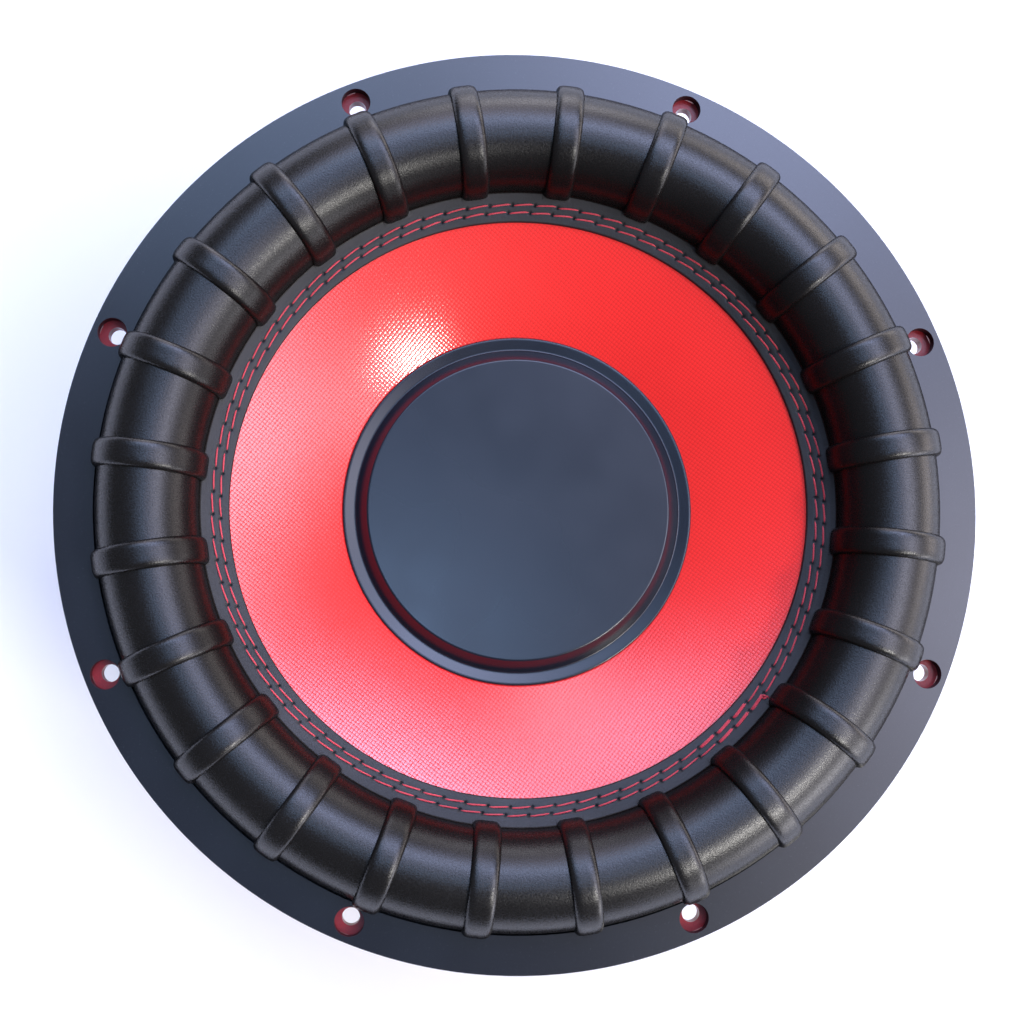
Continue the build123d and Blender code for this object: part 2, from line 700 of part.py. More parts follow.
def terminal_screw(z):
    """A slotted pan-head screw, from the housing's front into the pad."""
    seat_x = TERMINAL_FRONT_X - TERMINAL_SCREW_SEAT_DEPTH
    head_x = seat_x + TERMINAL_SCREW_HEAD_H
    screw = rod_x(TERMINAL_SCREW_HEAD_R, seat_x, head_x, z=z)
    screw += rod_x(TERMINAL_SCREW_R, seat_x - TERMINAL_SCREW_LENGTH, seat_x, z=z)
    slot = block((head_x - SLOT_DEPTH, -TERMINAL_SCREW_HEAD_R, z - SLOT_W / 2),
                 (head_x, TERMINAL_SCREW_HEAD_R, z + SLOT_W / 2))
    return screw - slot


def route_radii(points):
    """The largest round for each corner that leaves a short straight on both of its runs."""
    radii = []
    for before, corner, after in zip(points, points[1:], points[2:]):
        first = Vector(*corner) - Vector(*before)
        second = Vector(*after) - Vector(*corner)
        half_turn = math.radians(first.get_angle(second)) / 2
        radii.append(ARC_SHARE * min(first.length, second.length) / math.tan(half_turn))
    return radii


def make_tinsel_lead():
    """A round lead arching from a solder tab to the coil's collar, in the XZ plane."""
    points = [(r, 0, z) for r, z in LEAD_ROUTE]
    radii = route_radii(points)
    print("tinsel lead bend radii:", [round(radius, 1) for radius in radii])
    path = FilletPolyline(*points, radius=radii)
    return sweep(path.location_at(0) * Circle(LEAD_R), path=path)


def write(name, shape):
    export_step(shape, f"parts/{name}.step")


def main():
    os.makedirs("parts", exist_ok=True)
    write("basket", make_basket())
    write("mounting_gasket", make_mounting_gasket())
    write("surround", make_surround())
    write("cone_body", make_cone_body())
    write("cone_skin", make_cone_skin())
    write("stitch_row_inner", stitch_row(STITCH_INNER_ROW_R))
    write("stitch_row_outer", stitch_row(STITCH_OUTER_ROW_R))
    write("dust_cap", make_dust_cap())
    write("voice_coil_former", ring(FORMER_INNER_R, FORMER_OUTER_R, FORMER_FOOT_Z, FORMER_TOP_Z))
    write("former_collar", ring(FORMER_OUTER_R + GLUE_GAP, COLLAR_OUTER_R, COLLAR_FOOT_Z, COLLAR_TOP_Z))
    write("voice_coil_inner", make_coil_layer(0))
    write("voice_coil_outer", make_coil_layer(1))
    write("spider_upper", make_spider(spider_upper_z, 1))
    write("spider_lower", make_spider(spider_lower_z, -1))
    write("spider_spacer", ring(SPACER_INNER_R, SPACER_OUTER_R, spacer_foot_z, spacer_top_z))
    write("top_plate", make_top_plate())
    write("magnet_front", make_magnet(top_plate_foot_z))
    write("magnet_rear", make_magnet(magnet_joint_z))
    write("t_yoke", make_t_yoke())
    write("shorting_sleeve", ring(SLEEVE_INNER_R, SLEEVE_OUTER_R, SLEEVE_FOOT_Z, BASE_Z))
    write("vent_screen", make_vent_screen())
    write("frame_screws", Compound(around(frame_screw(), FRAME_SCREW_COUNT, BOLT_PHASE)))

    button = Pos(0, 0, BUTTON_Z) * make_button()
    spring = Pos(0, 0, BUTTON_Z) * make_button_spring()
    lead = make_tinsel_lead()
    housing = make_terminal_housing()
    housing_twin = mirror(housing, about=Plane.XZ)
    lead_angle = math.degrees(math.asin(POST_Y / LEAD_ANCHOR_R))
    number = 0
    for side, turn in (("right", 0), ("left", 180)):
        place = Rot(0, 0, turn)
        tabs = Compound([solder_tab(-POST_Y), solder_tab(POST_Y)])
        screws = Compound([terminal_screw(z) for z in TERMINAL_SCREW_ZS])
        write(f"terminal_base_{side}", place * make_terminal_base())
        write(f"solder_tabs_{side}", place * tabs)
        write(f"terminal_screws_{side}", place * screws)
        for across in (1, -1):
            number += 1
            write(f"terminal_housing_{number}", place * (housing if across > 0 else housing_twin))
            write(f"terminal_button_{number}", place * Pos(0, across * POST_Y, 0) * button)
            write(f"button_spring_{number}", place * Pos(0, across * POST_Y, 0) * spring)
            write(f"tinsel_lead_{number}", place * Rot(0, 0, across * lead_angle) * lead)


main()
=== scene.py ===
import bmesh
import bpy
import math
import random
import numpy as np
from mathutils import Matrix, Vector


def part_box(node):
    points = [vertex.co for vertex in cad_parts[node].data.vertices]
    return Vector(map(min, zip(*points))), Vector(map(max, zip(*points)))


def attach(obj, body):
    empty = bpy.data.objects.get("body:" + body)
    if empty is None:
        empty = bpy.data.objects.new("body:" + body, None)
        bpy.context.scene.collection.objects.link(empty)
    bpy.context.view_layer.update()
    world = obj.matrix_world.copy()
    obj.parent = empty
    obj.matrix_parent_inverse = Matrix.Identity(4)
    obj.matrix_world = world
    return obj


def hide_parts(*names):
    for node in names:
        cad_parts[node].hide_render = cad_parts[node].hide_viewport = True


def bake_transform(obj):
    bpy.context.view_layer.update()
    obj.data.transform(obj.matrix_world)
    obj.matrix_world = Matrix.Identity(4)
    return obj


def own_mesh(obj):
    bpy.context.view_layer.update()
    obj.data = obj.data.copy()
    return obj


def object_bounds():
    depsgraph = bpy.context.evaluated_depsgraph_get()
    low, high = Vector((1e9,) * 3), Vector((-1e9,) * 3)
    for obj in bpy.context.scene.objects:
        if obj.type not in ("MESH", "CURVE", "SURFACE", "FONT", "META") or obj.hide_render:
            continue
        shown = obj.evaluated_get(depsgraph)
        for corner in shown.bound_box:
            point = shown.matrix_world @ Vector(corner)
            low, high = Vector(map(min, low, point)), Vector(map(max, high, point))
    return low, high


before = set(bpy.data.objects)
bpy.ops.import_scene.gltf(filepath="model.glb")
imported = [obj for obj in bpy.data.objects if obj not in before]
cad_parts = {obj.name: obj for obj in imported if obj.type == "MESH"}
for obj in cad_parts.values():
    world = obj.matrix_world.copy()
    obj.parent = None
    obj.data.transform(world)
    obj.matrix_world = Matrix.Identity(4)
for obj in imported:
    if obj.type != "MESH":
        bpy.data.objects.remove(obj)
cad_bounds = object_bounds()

# Metres and degrees. The frame is the CAD model's: the origin is the centre of the
# mounting plane and +Z points out of the front of the speaker.
MM = 0.001
ALL_ROUND = 360.0
ROUND_STEPS = 360
HIDDEN_ROUND_STEPS = 240
SHARP_ANGLE = 50.0
GLUE_GAP = 0.05 * MM


# ---- places read from the frame ----

def radii_and_heights(obj):
    """Each vertex's distance from the Z axis, and its height."""
    co = np.zeros(len(obj.data.vertices) * 3)
    obj.data.vertices.foreach_get("co", co)
    co = co.reshape(-1, 3)
    return np.hypot(co[:, 0], co[:, 1]), co[:, 2]


def span(node):
    """(inner radius, outer radius, lowest z, highest z) of a CAD node about the Z axis."""
    radii, heights = radii_and_heights(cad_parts[node])
    return radii.min(), radii.max(), heights.min(), heights.max()


GASKET_INNER_R, GASKET_OUTER_R, GASKET_FOOT_Z, GASKET_TOP_Z = span("mounting_gasket")
BAND_INNER_R, SURROUND_R, _, _ = span("surround")
CAP_RIM_R = span("dust_cap")[1]

# Mounting gasket
BOLT_CIRCLE_R = 152 * MM
BOLT_COUNT = 8
BOLT_PHASE = 22.5
GASKET_HOLE_R = 5 * MM
GASKET_HOLE_SIDES = 64
GASKET_ROUND = 0.7 * MM
GASKET_FALL = 0.8 * MM

# Surround roll
ROLL_CENTRE_R = 127.3 * MM
ROLL_CENTRE_Z = 13 * MM
ROLL_R = 17 * MM
ROLL_T = 2.6 * MM
ROLL_STEPS = 44
ROLL_INSIDE_STEPS = 16
FLANGE_FOOT_DROP = 1.45 * MM
OUTER_FILLET = 1.2 * MM
INNER_FILLET = 0.7 * MM
INNER_FILLET_LIFT = 1.05

# Ribs: RIB_HOLD is the last column beside a rib, in half widths, where the roll is plain again
RIB_COUNT = 24
RIB_PHASE = 8.6
RIB_HALF_WIDTH = 4.8 * MM
RIB_PROUD = 2.2 * MM
RIB_SQUARENESS = 4.5
RIB_STEPS = 14
RIB_HOLD = 1.04
RIB_GAP_COLUMNS = 4

# Inner band
BAND_Z = 3.93 * MM
BAND_SLOPE = 0.3235
BAND_T = 1.5 * MM
BAND_SEAM_R = 107.6 * MM
BAND_RINGS = 30
BAND_EDGE_ROUND = 0.5 * MM
BAND_EDGE_DROOP = 0.1 * MM
BAND_EDGE_STEPS = 4

# Rows of points on the surround, in millimetres: up the roll's outer leg with a rib's foot on
# it, down the roll's inner leg, and inward over the band as far as its seam
OUTER_LEG_ROWS = (8.0, 9.6, 10.3, 10.9, 11.5, 12.1, 12.6)
RIB_FOOT_LOW = 10.0
RIB_FOOT_HIGH = 12.6
INNER_LEG_ROWS = (12.0, 11.0, 10.0)
SEAM_ROWS = (108.1, 107.85, 107.65, 107.6)

# Stitching
STITCH_COUNT = 84
STITCH_ROWS = (103.5 * MM, 106.1 * MM)
STITCH_PHASES = (0.05, -0.15)
STITCH_DRIFT = 0.13
STITCH_DRIFT_FROM = 150.0
STITCH_SEED = 20
STITCH_STEPS = 13
STITCH_SLANT = 0.26 * MM
STITCH_MARGIN = 0.07
STITCH_WANDER = 0.05 * MM
STITCH_ENDS = 0.2
THREAD_R = 0.32 * MM
THREAD_SINK = 0.16 * MM
THREAD_LOBES = 0.16
THREAD_TWIST = 2.2 / MM
GROOVE_HALF_WIDTH = 0.55 * MM
GROOVE_DEPTH = 0.14 * MM
GROOVE_REACH = 2.5
NEEDLE_HALF_WIDTH = 0.36 * MM
NEEDLE_DEPTH = 0.8 * MM
STEPS_PER_STITCH = 20
BACK_TACK_FROM = -52.0
BACK_TACK_TO = -39.0
BACK_TACK_SHIFT = 0.24 * MM
BACK_TACK_THICK = 1.05
KNOT_SHIFT = 0.6 * MM
KNOT_PAST = 0.8
KNOT_R = (0.62 * MM, 0.5 * MM)
KNOT_THREAD_R = 0.34 * MM
TAIL_THREAD_R = 0.26 * MM

# The loose thread end, point by point: millimetres outward, degrees onward, millimetres up
KNOT_TAIL = ((0.0, 0.0, 0.2), (0.5, 0.35, 0.45), (1.1, 0.5, 0.35), (1.7, 0.3, 0.0))

# Cone
CONE_START = (40.6 * MM, -25.8 * MM)
CONE_MIDDLE = (70.0 * MM, -10.2 * MM)
CONE_KNEE_R = 99.0 * MM
CONE_LIP_R = 109.5 * MM
CONE_STEPS = 40
CONE_LIP_STEPS = 4
SKIN_T = 0.55 * MM
SKIN_GAP = 0.15 * MM
CONE_T = 2.0 * MM
WEAVE_PITCH = 1.2 * MM
WEAVE_TURN = 38.0

# Dust cap
CAP_RIM_Z = -12.8 * MM
CAP_FOOT_Z = -15.0 * MM
CAP_CREASE_R = 57.8 * MM
CAP_CREASE_Z = -13.8 * MM
CAP_DISC_R = 53.6 * MM
CAP_DISC_Z = -8.4 * MM
CAP_T = 1.2 * MM
CAP_WALL_INSET = 0.6 * MM
CAP_RIM_ROUND = 1.0 * MM
CAP_CREASE_ROUND = 0.8 * MM
CAP_DISC_ROUND = 1.1 * MM
CAP_INSIDE_ROUND = 0.6 * MM
CAP_RIM_INSIDE_ROUND = 0.4 * MM

# Spiders
SPIDER_T = 0.7 * MM
SPIDER_WAVE_FROM = 43 * MM
SPIDER_WAVE_TO = 88 * MM
SPIDER_WAVES = 10
SPIDER_WAVE_STEPS = 12
SPIDER_WAVE_HEIGHT = 1.4 * MM
SPIDER_NECK_H = 2.5 * MM

# Tinsel leads: the route from the collar out to the tab, as (radius, z) in millimetres
LEAD_ROUTE = (
    (39.6, -44.6),
    (49.5, -44.1),
    (60.0, -38.6),
    (71.5, -35.4),
    (83.0, -38.0),
    (91.0, -42.9),
    (99.0, -43.2),
)
LEAD_R = 1.15 * MM
LEAD_SIDES = 16
LEAD_STRANDS = 4
LEAD_WEAVE_STEP = 0.9
LEAD_ANCHOR_R = 96.5 * MM
POST_Y = 10.0 * MM
SOLDER_R = 97.2 * MM
SOLDER_SIZE = (2.3 * MM, 2.0 * MM, 1.75 * MM)
SOLDER_LUMPS = 0.08

# Motor
WIRE_PITCH = 0.7 * MM
TURNING_PITCH = 0.5 * MM
YOKE_PLATE_R = 92.0 * MM
YOKE_FOOT_R = 86.0 * MM
YOKE_STEP_H = 6 * MM
YOKE_PLATE_T = 12 * MM
YOKE_RECESS_R = 45.0 * MM
YOKE_RECESS_DEPTH = 4 * MM
POLE_R = 36.55 * MM
VENT_R = 15.0 * MM
VENT_MOUTH_R = 20.0 * MM
VENT_FLARE_H = 10 * MM
SCREEN_SEAT_R = 23.2 * MM
SCREEN_SEAT_DEPTH = 1.2 * MM
MAGNET_ROUND = 1.6 * MM
SPACER_ROUND = 0.5 * MM

# Push buttons, from the stud at the back to the dished face, and their springs
BUTTON_STUD_R = 2.8 * MM
BUTTON_STUD_LENGTH = 3.7 * MM
BUTTON_COLLAR_R = 5.6 * MM
BUTTON_COLLAR_T = 2.7 * MM
BUTTON_SHAFT_R = 4.4 * MM
BUTTON_LIP_R = 3.0 * MM
BUTTON_LIP_FALL = 0.1 * MM
BUTTON_DISH_R = 2.6 * MM
BUTTON_DISH_DEPTH = 0.5 * MM
SPRING_WIRE_R = 0.42 * MM
SPRING_TURNS = 5.5
SPRING_STEPS_PER_TURN = 24

# How far along the spring the wire has come, by its share of the turns: the end coils lie closer
SPRING_TURN_SHARES = (0, 0.18, 0.82, 1)
SPRING_RISE_SHARES = (0, 0.12, 0.88, 1)

FLOOR_SIZE = 12

# Camera: sensor width and lens in millimetres, the place it stands and the point it looks at
CAMERA_SENSOR = 36.0
CAMERA_LENS = 59.5
CAMERA_PLACE = (-41.8 * MM, -53.2 * MM, 585.1 * MM)
CAMERA_TARGET = (-4.35 * MM, -2.03 * MM, 10.0 * MM)

# Key light: a wide panel that faces the speaker, in metres and watts
KEY_AZIMUTH = -46
KEY_ELEVATION = 47
KEY_DISTANCE = 1.8
KEY_WIDTH = 0.36
KEY_HEIGHT = 0.10
KEY_POWER = 14
KEY_COLOUR = (1.0, 0.97, 0.92)

# Light from all round: a dim fill, and glows of (azimuth, elevation, sharpness, colour)
SKY_FILL = (0.15, 0.16, 0.18)
SKY_GLOWS = (
    (0, 58, 40, (7.6, 7.6, 9.6)),
    (60, 58, 40, (7.2, 8.2, 12.8)),
    (110, 56, 40, (2.6, 3.9, 6.4)),
    (95, 40, 40, (4.0, 3.6, 4.5)),
    (210, 88, 220, (3.9, 6.0, 9.8)),
    (-24, 42, 60, (3.4, 3.2, 3.8)),
    (-38, 5, 25, (9.0, 8.8, 9.4)),
    (5, 5, 25, (6.0, 5.4, 5.4)),
    (45, 5, 25, (6.0, 5.4, 5.2)),
    (85, 5, 25, (6.0, 5.8, 6.4)),
)


# ---- mesh building ----

def polar(radius, degrees, z):
    angle = math.radians(degrees)
    return (radius * math.cos(angle), radius * math.sin(angle), z)


def new_object(name, vertices, faces):
    mesh = bpy.data.meshes.new(name)
    mesh.from_pydata(vertices, [], faces)
    mesh.polygons.foreach_set("use_smooth", [True] * len(mesh.polygons))
    mesh.validate()
    obj = bpy.data.objects.new(name, mesh)
    bpy.context.scene.collection.objects.link(obj)
    return obj


def grid_faces(rows, columns, wrap_rows, wrap_columns, start=0):
    """Quads over a grid of rows by columns of points, joined at its ends where it wraps."""
    faces = []
    for i in range(rows if wrap_rows else rows - 1):
        below = start + i * columns
        above = start + (i + 1) % rows * columns
        for j in range(columns if wrap_columns else columns - 1):
            k = (j + 1) % columns
            faces.append((below + j, below + k, above + k, above + j))
    return faces


def lathe(name, outline, steps=ROUND_STEPS):
    """A solid turned about Z from a closed outline of (radius, z) points, counterclockwise."""
    turns = [polar(1, ALL_ROUND * i / steps, 0) for i in range(steps)]
    vertices = [(r * x, r * y, z) for x, y, _ in turns for r, z in outline]
    obj = new_object(name, vertices, grid_faces(steps, len(outline), True, True))
    if min(r for r, _ in outline) < MM / 100:
        weld(obj)
    return obj


def weld(obj, distance=MM / 200):
    """Joins the points that lie together, as on the axis of a turned piece."""
    soft = bmesh.new()
    soft.from_mesh(obj.data)
    bmesh.ops.remove_doubles(soft, verts=soft.verts, dist=distance)
    bmesh.ops.dissolve_degenerate(soft, edges=soft.edges, dist=distance / 10)
    soft.to_mesh(obj.data)
    soft.free()


def rounded(corners, radius=0.0, steps=4, hold=0.25 * MM):
    """A closed outline with each corner rounded. A corner (r, z, own) has its own radius.

    Where there is room, a point a hold away from each rounding keeps the flat faces flat.
    """
    outline = []
    count = len(corners)
    for i, corner in enumerate(corners):
        here = Vector(corner[:2])
        own = corner[2] if len(corner) > 2 else radius
        back = Vector(corners[i - 1][:2]) - here
        ahead = Vector(corners[(i + 1) % count][:2]) - here
        if own <= 0:
            outline.append(tuple(here))
            continue
        half = back.angle(ahead) / 2
        reach = min(own / math.tan(half), 0.45 * back.length, 0.45 * ahead.length)
        first = here + back.normalized() * reach
        last = here + ahead.normalized() * reach
        if reach + hold < 0.48 * back.length:
            outline.append(tuple(first + back.normalized() * hold))
        for k in range(steps + 1):
            t = k / steps
            outline.append(tuple((1 - t) ** 2 * first + 2 * t * (1 - t) * here + t ** 2 * last))
        if reach + hold < 0.48 * ahead.length:
            outline.append(tuple(last + ahead.normalized() * hold))
    return outline


def smoothstep(low, high, x):
    t = min(max((x - low) / (high - low), 0.0), 1.0)
    return t * t * (3 - 2 * t)


def circle_through(a, b, c):
    """Centre and radius of the circle through three (r, z) points."""
    a, b, c = (np.array(point) for point in (a, b, c))
    centre = np.linalg.solve(2 * np.array((b - a, c - a)), (b @ b - a @ a, c @ c - a @ a))
    return centre[0], centre[1], np.linalg.norm(a - centre)


def tube(vertices, faces, points, radius, sides=10, lobes=0.0, twist=0.0):
    """Adds a closed tube along points to lists of vertices and faces. Lobes make a plied thread."""
    path = [Vector(p) for p in points]
    start = len(vertices)
    across = None
    length = 0.0
    for i, point in enumerate(path):
        tangent = (path[min(i + 1, len(path) - 1)] - path[max(i - 1, 0)]).normalized()
        if across is None:
            across = tangent.orthogonal().normalized()
        across = (across - tangent * across.dot(tangent)).normalized()
        up = tangent.cross(across)
        if i:
            length += (point - path[i - 1]).length
        size = radius[i] if isinstance(radius, (list, tuple)) else radius
        for k in range(sides):
            angle = math.tau * k / sides
            ply = 1 - lobes + lobes * abs(math.cos(angle - twist * length))
            vertices.append(point + size * ply * (across * math.cos(angle) + up * math.sin(angle)))
    faces.extend(grid_faces(len(path), sides, False, True, start))
    faces.append(tuple(start + k for k in reversed(range(sides))))
    faces.append(tuple(start + (len(path) - 1) * sides + k for k in range(sides)))


def curve_points(route, resolution=12):
    """Points along a smooth NURBS curve whose control points are the route."""
    curve = bpy.data.curves.new("route", "CURVE")
    curve.dimensions = "3D"
    curve.resolution_u = resolution
    spline = curve.splines.new("NURBS")
    spline.points.add(len(route) - 1)
    for point, place in zip(spline.points, route):
        point.co = (*place, 1.0)
    spline.order_u = 3
    spline.use_endpoint_u = True
    holder = bpy.data.objects.new("route", curve)
    bpy.context.scene.collection.objects.link(holder)
    line = bpy.data.meshes.new_from_object(holder)
    points = [vertex.co.copy() for vertex in line.vertices]
    bpy.data.objects.remove(holder)
    bpy.data.curves.remove(curve)
    bpy.data.meshes.remove(line)
    return points


def apply_modifiers(obj):
    bpy.context.view_layer.update()
    graph = bpy.context.evaluated_depsgraph_get()
    finished = bpy.data.meshes.new_from_object(obj.evaluated_get(graph))
    obj.modifiers.clear()
    obj.data = finished


def radial_blend(obj):
    """Bakes a turned piece's placement into its mesh and reads each point's distance from the axis."""
    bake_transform(obj)
    radii, _ = radii_and_heights(obj)


# ---- materials ----

class Nodes:
    """Short calls that add nodes to a node tree."""

    def __init__(self, tree):
        self.tree = tree

    def node(self, kind, out=0, settings=None, **inputs):
        """Adds a node and gives back one output. Inputs go by name, or by number as i0, i1."""
        made = self.tree.nodes.new("ShaderNode" + kind)
        for key, value in (settings or {}).items():
            setattr(made, key, value)
        for key, value in inputs.items():
            numbered = key[0] == "i" and key[1:].isdigit()
            socket = made.inputs[int(key[1:]) if numbered else key]
            if isinstance(value, bpy.types.NodeSocket):
                self.tree.links.new(value, socket)
            else:
                socket.default_value = value
        return made.outputs[out]

    def math(self, operation, a, b=0.0):
        return self.node("Math", settings={"operation": operation}, i0=a, i1=b)

    def vector(self, operation, out=0, **inputs):
        return self.node("VectorMath", out, {"operation": operation}, **inputs)


class Look(Nodes):
    """A procedural material: a Principled shader, and short calls that shade it."""

    def __init__(self, name, **sockets):
        self.material = bpy.data.materials.new(name)
        self.material.use_nodes = True
        super().__init__(self.material.node_tree)
        self.shader = self.tree.nodes["Principled BSDF"]
        for socket, value in sockets.items():
            self.shader.inputs[socket.replace("_", " ")].default_value = value
        self.place = self.node("TexCoord", "Object")

    def noise(self, size, detail=2.0, rough=0.5):
        """Noise with blobs of about a size in metres."""
        return self.node("TexNoise", Vector=self.place, Scale=1 / size, Detail=detail, Roughness=rough)

    def axis_distance(self):
        """Distance from the Z axis in metres."""
        flat = self.node("Mapping", Vector=self.place, Scale=(1, 1, 0))
        return self.vector("LENGTH", "Value", i0=flat)

    def ramp(self, factor, *stops):
        """A colour ramp of (position, colour) stops. A colour may be one grey value."""
        made = self.tree.nodes.new("ShaderNodeValToRGB")
        self.tree.links.new(factor, made.inputs[0])
        while len(made.color_ramp.elements) < len(stops):
            made.color_ramp.elements.new(1.0)
        for element, (position, colour) in zip(made.color_ramp.elements, stops):
            rgb = colour if isinstance(colour, tuple) else (colour, colour, colour)
            element.position = position
            element.color = (*rgb, 1.0)
        return made.outputs[0]

    def bump(self, height, depth, before=None):
        inputs = {"Height": height, "Distance": depth, "Strength": 1.0}
        if before:
            inputs["Normal"] = before
        return self.node("Bump", **inputs)

    def set(self, socket, value):
        self.tree.links.new(value, self.shader.inputs[socket])

    def surface(self, colour, roughness, height, depth):
        """Colour and roughness, each as a factor and its ramp stops, and a bump of a height."""
        self.set("Base Color", self.ramp(*colour))
        self.set("Roughness", self.ramp(*roughness))
        self.set("Normal", self.bump(height, depth))
        return self


def rubber_look(name, dark, light, roughness, grain, depth, shine=0.5, wear=0.06, painted_shade_radii=None):
    """Moulded black rubber: a fine speckled grain, faint cloudy wear, dull where seen edge-on.

    Between the two given radii, the gloss fades to less than a third of itself inward: painted shade that
    dims the reflection toward the axis, as on the roll's inner flank.
    """
    look = Look(name)
    facing = look.node("LayerWeight", 1, Blend=0.5)
    gloss = look.ramp(facing, (0.3, shine), (0.9, 0.12 * shine))
    # Painted shade: the reflection dims toward the axis between two radii.
    if painted_shade_radii:
        near, far = painted_shade_radii
        fade = look.ramp(look.axis_distance(), (near, 0.3), (far, 1.0))
        gloss = look.math("MULTIPLY", gloss, fade)
    look.set("Specular IOR Level", gloss)
    cloud = look.noise(30 * MM, 3.0)
    speck = look.noise(grain, 3.0, 0.7)
    rough = (speck, (0.3, roughness - wear), (0.75, roughness + wear))
    return look.surface((cloud, (0.35, dark), (0.7, light)), rough, speck, depth)


def gasket_look():
    return rubber_look("gasket_satin", (0.005, 0.006, 0.010), (0.008, 0.010, 0.015), roughness=0.26,
                       grain=0.5 * MM, depth=0.003 * MM, shine=0.6, wear=0.02)


def roll_look():
    # Painted shade: the gloss fades on the roll's inner flank, toward the axis.
    return rubber_look("roll_rubber", (0.0045, 0.0038, 0.0036), (0.007, 0.0062, 0.0060), roughness=0.28,
                       grain=0.6 * MM, depth=0.08 * MM, wear=0.1, painted_shade_radii=(112 * MM, 123 * MM))


def band_look():
    return rubber_look("band_rubber", (0.009, 0.009, 0.011), (0.020, 0.020, 0.023), roughness=0.54,
                       grain=0.6 * MM, depth=0.12 * MM, shine=0.42)


def weave_height(look, pitch, turn):
    """Height of a plain weave seen along Z: threads that pass over and under each other."""
    flat = look.node("Mapping", Vector=look.place, Rotation=(0, 0, math.radians(turn)),
                     Scale=(1 / pitch, 1 / pitch, 0))
    split = look.tree.nodes.new("ShaderNodeSeparateXYZ")
    look.tree.links.new(flat, split.inputs[0])
    across = look.math("SINE", look.math("MULTIPLY", split.outputs[0], math.pi))
    along = look.math("SINE", look.math("MULTIPLY", split.outputs[1], math.pi))
    warp_on_top = look.math("GREATER_THAN", look.math("MULTIPLY", across, along), 0.0)
    across_high = look.math("ABSOLUTE", across)
    along_high = look.math("ABSOLUTE", along)
    warp = look.math("MULTIPLY", look.math("POWER", across_high, 0.9), look.math("POWER", along_high, 0.3))
    weft = look.math("MULTIPLY", look.math("POWER", across_high, 0.3), look.math("POWER", along_high, 0.9))
    return look.node("Mix", i0=warp_on_top, i2=weft, i3=warp)


def cone_look():
    """Glass cloth in glossy red resin: a fine weave under a clear coat."""
    look = Look("cone_red_weave", Coat_IOR=1.65, Coat_Roughness=0.13, Specular_IOR_Level=0.2)
    weave = weave_height(look, WEAVE_PITCH, WEAVE_TURN)
    cloud = look.noise(45 * MM, 2.0)
    red = look.ramp(cloud, (0.3, (0.88, 0.020, 0.016)), (0.75, (0.93, 0.026, 0.020)))
    gaps = look.ramp(weave, (0.1, 0.72), (0.5, 1.0))
    look.set("Base Color", look.node("Mix", 2, {"data_type": "RGBA", "blend_type": "MULTIPLY"},
                                     i0=1.0, i6=red, i7=gaps))
    look.set("Roughness", look.ramp(weave, (0.0, 0.55), (0.8, 0.38)))
    ripple = look.bump(look.noise(16 * MM, 1.0), 0.06 * MM)
    look.set("Normal", look.bump(weave, 0.05 * MM, ripple))
    look.set("Coat Weight", look.ramp(weave, (0.2, 0.1), (0.55, 1.0)))
    look.set("Coat Normal", look.bump(weave, 0.02 * MM, ripple))
    return look


def thread_look():
    """Red sewing thread with fine fibres."""
    look = Look("thread_red", Sheen_Weight=0.4, Sheen_Roughness=0.4)
    fibre = look.noise(0.18 * MM, 2.0)
    colour = (fibre, (0.3, (0.42, 0.018, 0.032)), (0.7, (0.74, 0.06, 0.085)))
    return look.surface(colour, (fibre, (0.2, 0.45), (0.8, 0.65)), fibre, 0.05 * MM)


def cap_look():
    """Satin moulded plastic, smooth enough to mirror the sky softly."""
    look = Look("cap_satin")
    cloud = look.noise(60 * MM, 2.0)
    swirl = look.noise(18 * MM, 1.0)
    look.set("Base Color", look.ramp(cloud, (0.3, (0.008, 0.011, 0.018)), (0.7, (0.010, 0.013, 0.021))))
    look.set("Roughness", look.ramp(swirl, (0.3, 0.19), (0.7, 0.23)))
    return look


def paint_look():
    """Dark red gloss powder coat with faint orange peel."""
    look = Look("basket_powder_coat", Coat_Weight=0.2, Coat_Roughness=0.12, Specular_IOR_Level=0.3)
    peel = look.noise(2.2 * MM, 2.0)
    fleck = look.noise(0.35 * MM, 1.0)
    colour = (fleck, (0.3, (0.19, 0.004, 0.007)), (0.75, (0.27, 0.006, 0.010)))
    return look.surface(colour, (peel, (0.3, 0.32), (0.7, 0.42)), peel, 0.06 * MM)


def turned_metal_look(name, colour, roughness):
    """Metal with fine turning rings about the Z axis."""
    look = Look(name, Metallic=1.0)
    turns = look.math("MULTIPLY", look.axis_distance(), 1 / TURNING_PITCH)
    rings = look.node("TexNoise", settings={"noise_dimensions": "1D"}, W=turns, Scale=1.0, Detail=3.0)
    cloud = look.noise(25 * MM, 3.0)
    light = tuple(min(1.0, c * 1.35) for c in colour)
    rough = (rings, (0.3, roughness - 0.08), (0.7, roughness + 0.1))
    return look.surface((cloud, (0.35, colour), (0.7, light)), rough, rings, 0.02 * MM)


def metal_look(name, colour, roughness):
    """Plain metal with a fine grain and faint clouds."""
    look = Look(name, Metallic=1.0)
    grain = look.noise(0.6 * MM, 3.0)
    cloud = look.noise(8 * MM, 2.0)
    dark = tuple(0.8 * c for c in colour)
    rough = (grain, (0.3, roughness - 0.06), (0.7, roughness + 0.08))
    return look.surface((cloud, (0.3, dark), (0.7, colour)), rough, grain, 0.008 * MM)


def ferrite_look():
    """Sintered ferrite: dark grey, gritty, with a dusty lighter cast."""
    look = Look("magnet_ferrite", Specular_IOR_Level=0.4)
    grit = look.noise(0.5 * MM, 4.0, 0.75)
    cloud = look.noise(20 * MM, 4.0)
    colour = (cloud, (0.35, (0.028, 0.028, 0.030)), (0.7, (0.050, 0.049, 0.050)))
    return look.surface(colour, (grit, (0.3, 0.5), (0.7, 0.72)), grit, 0.05 * MM)


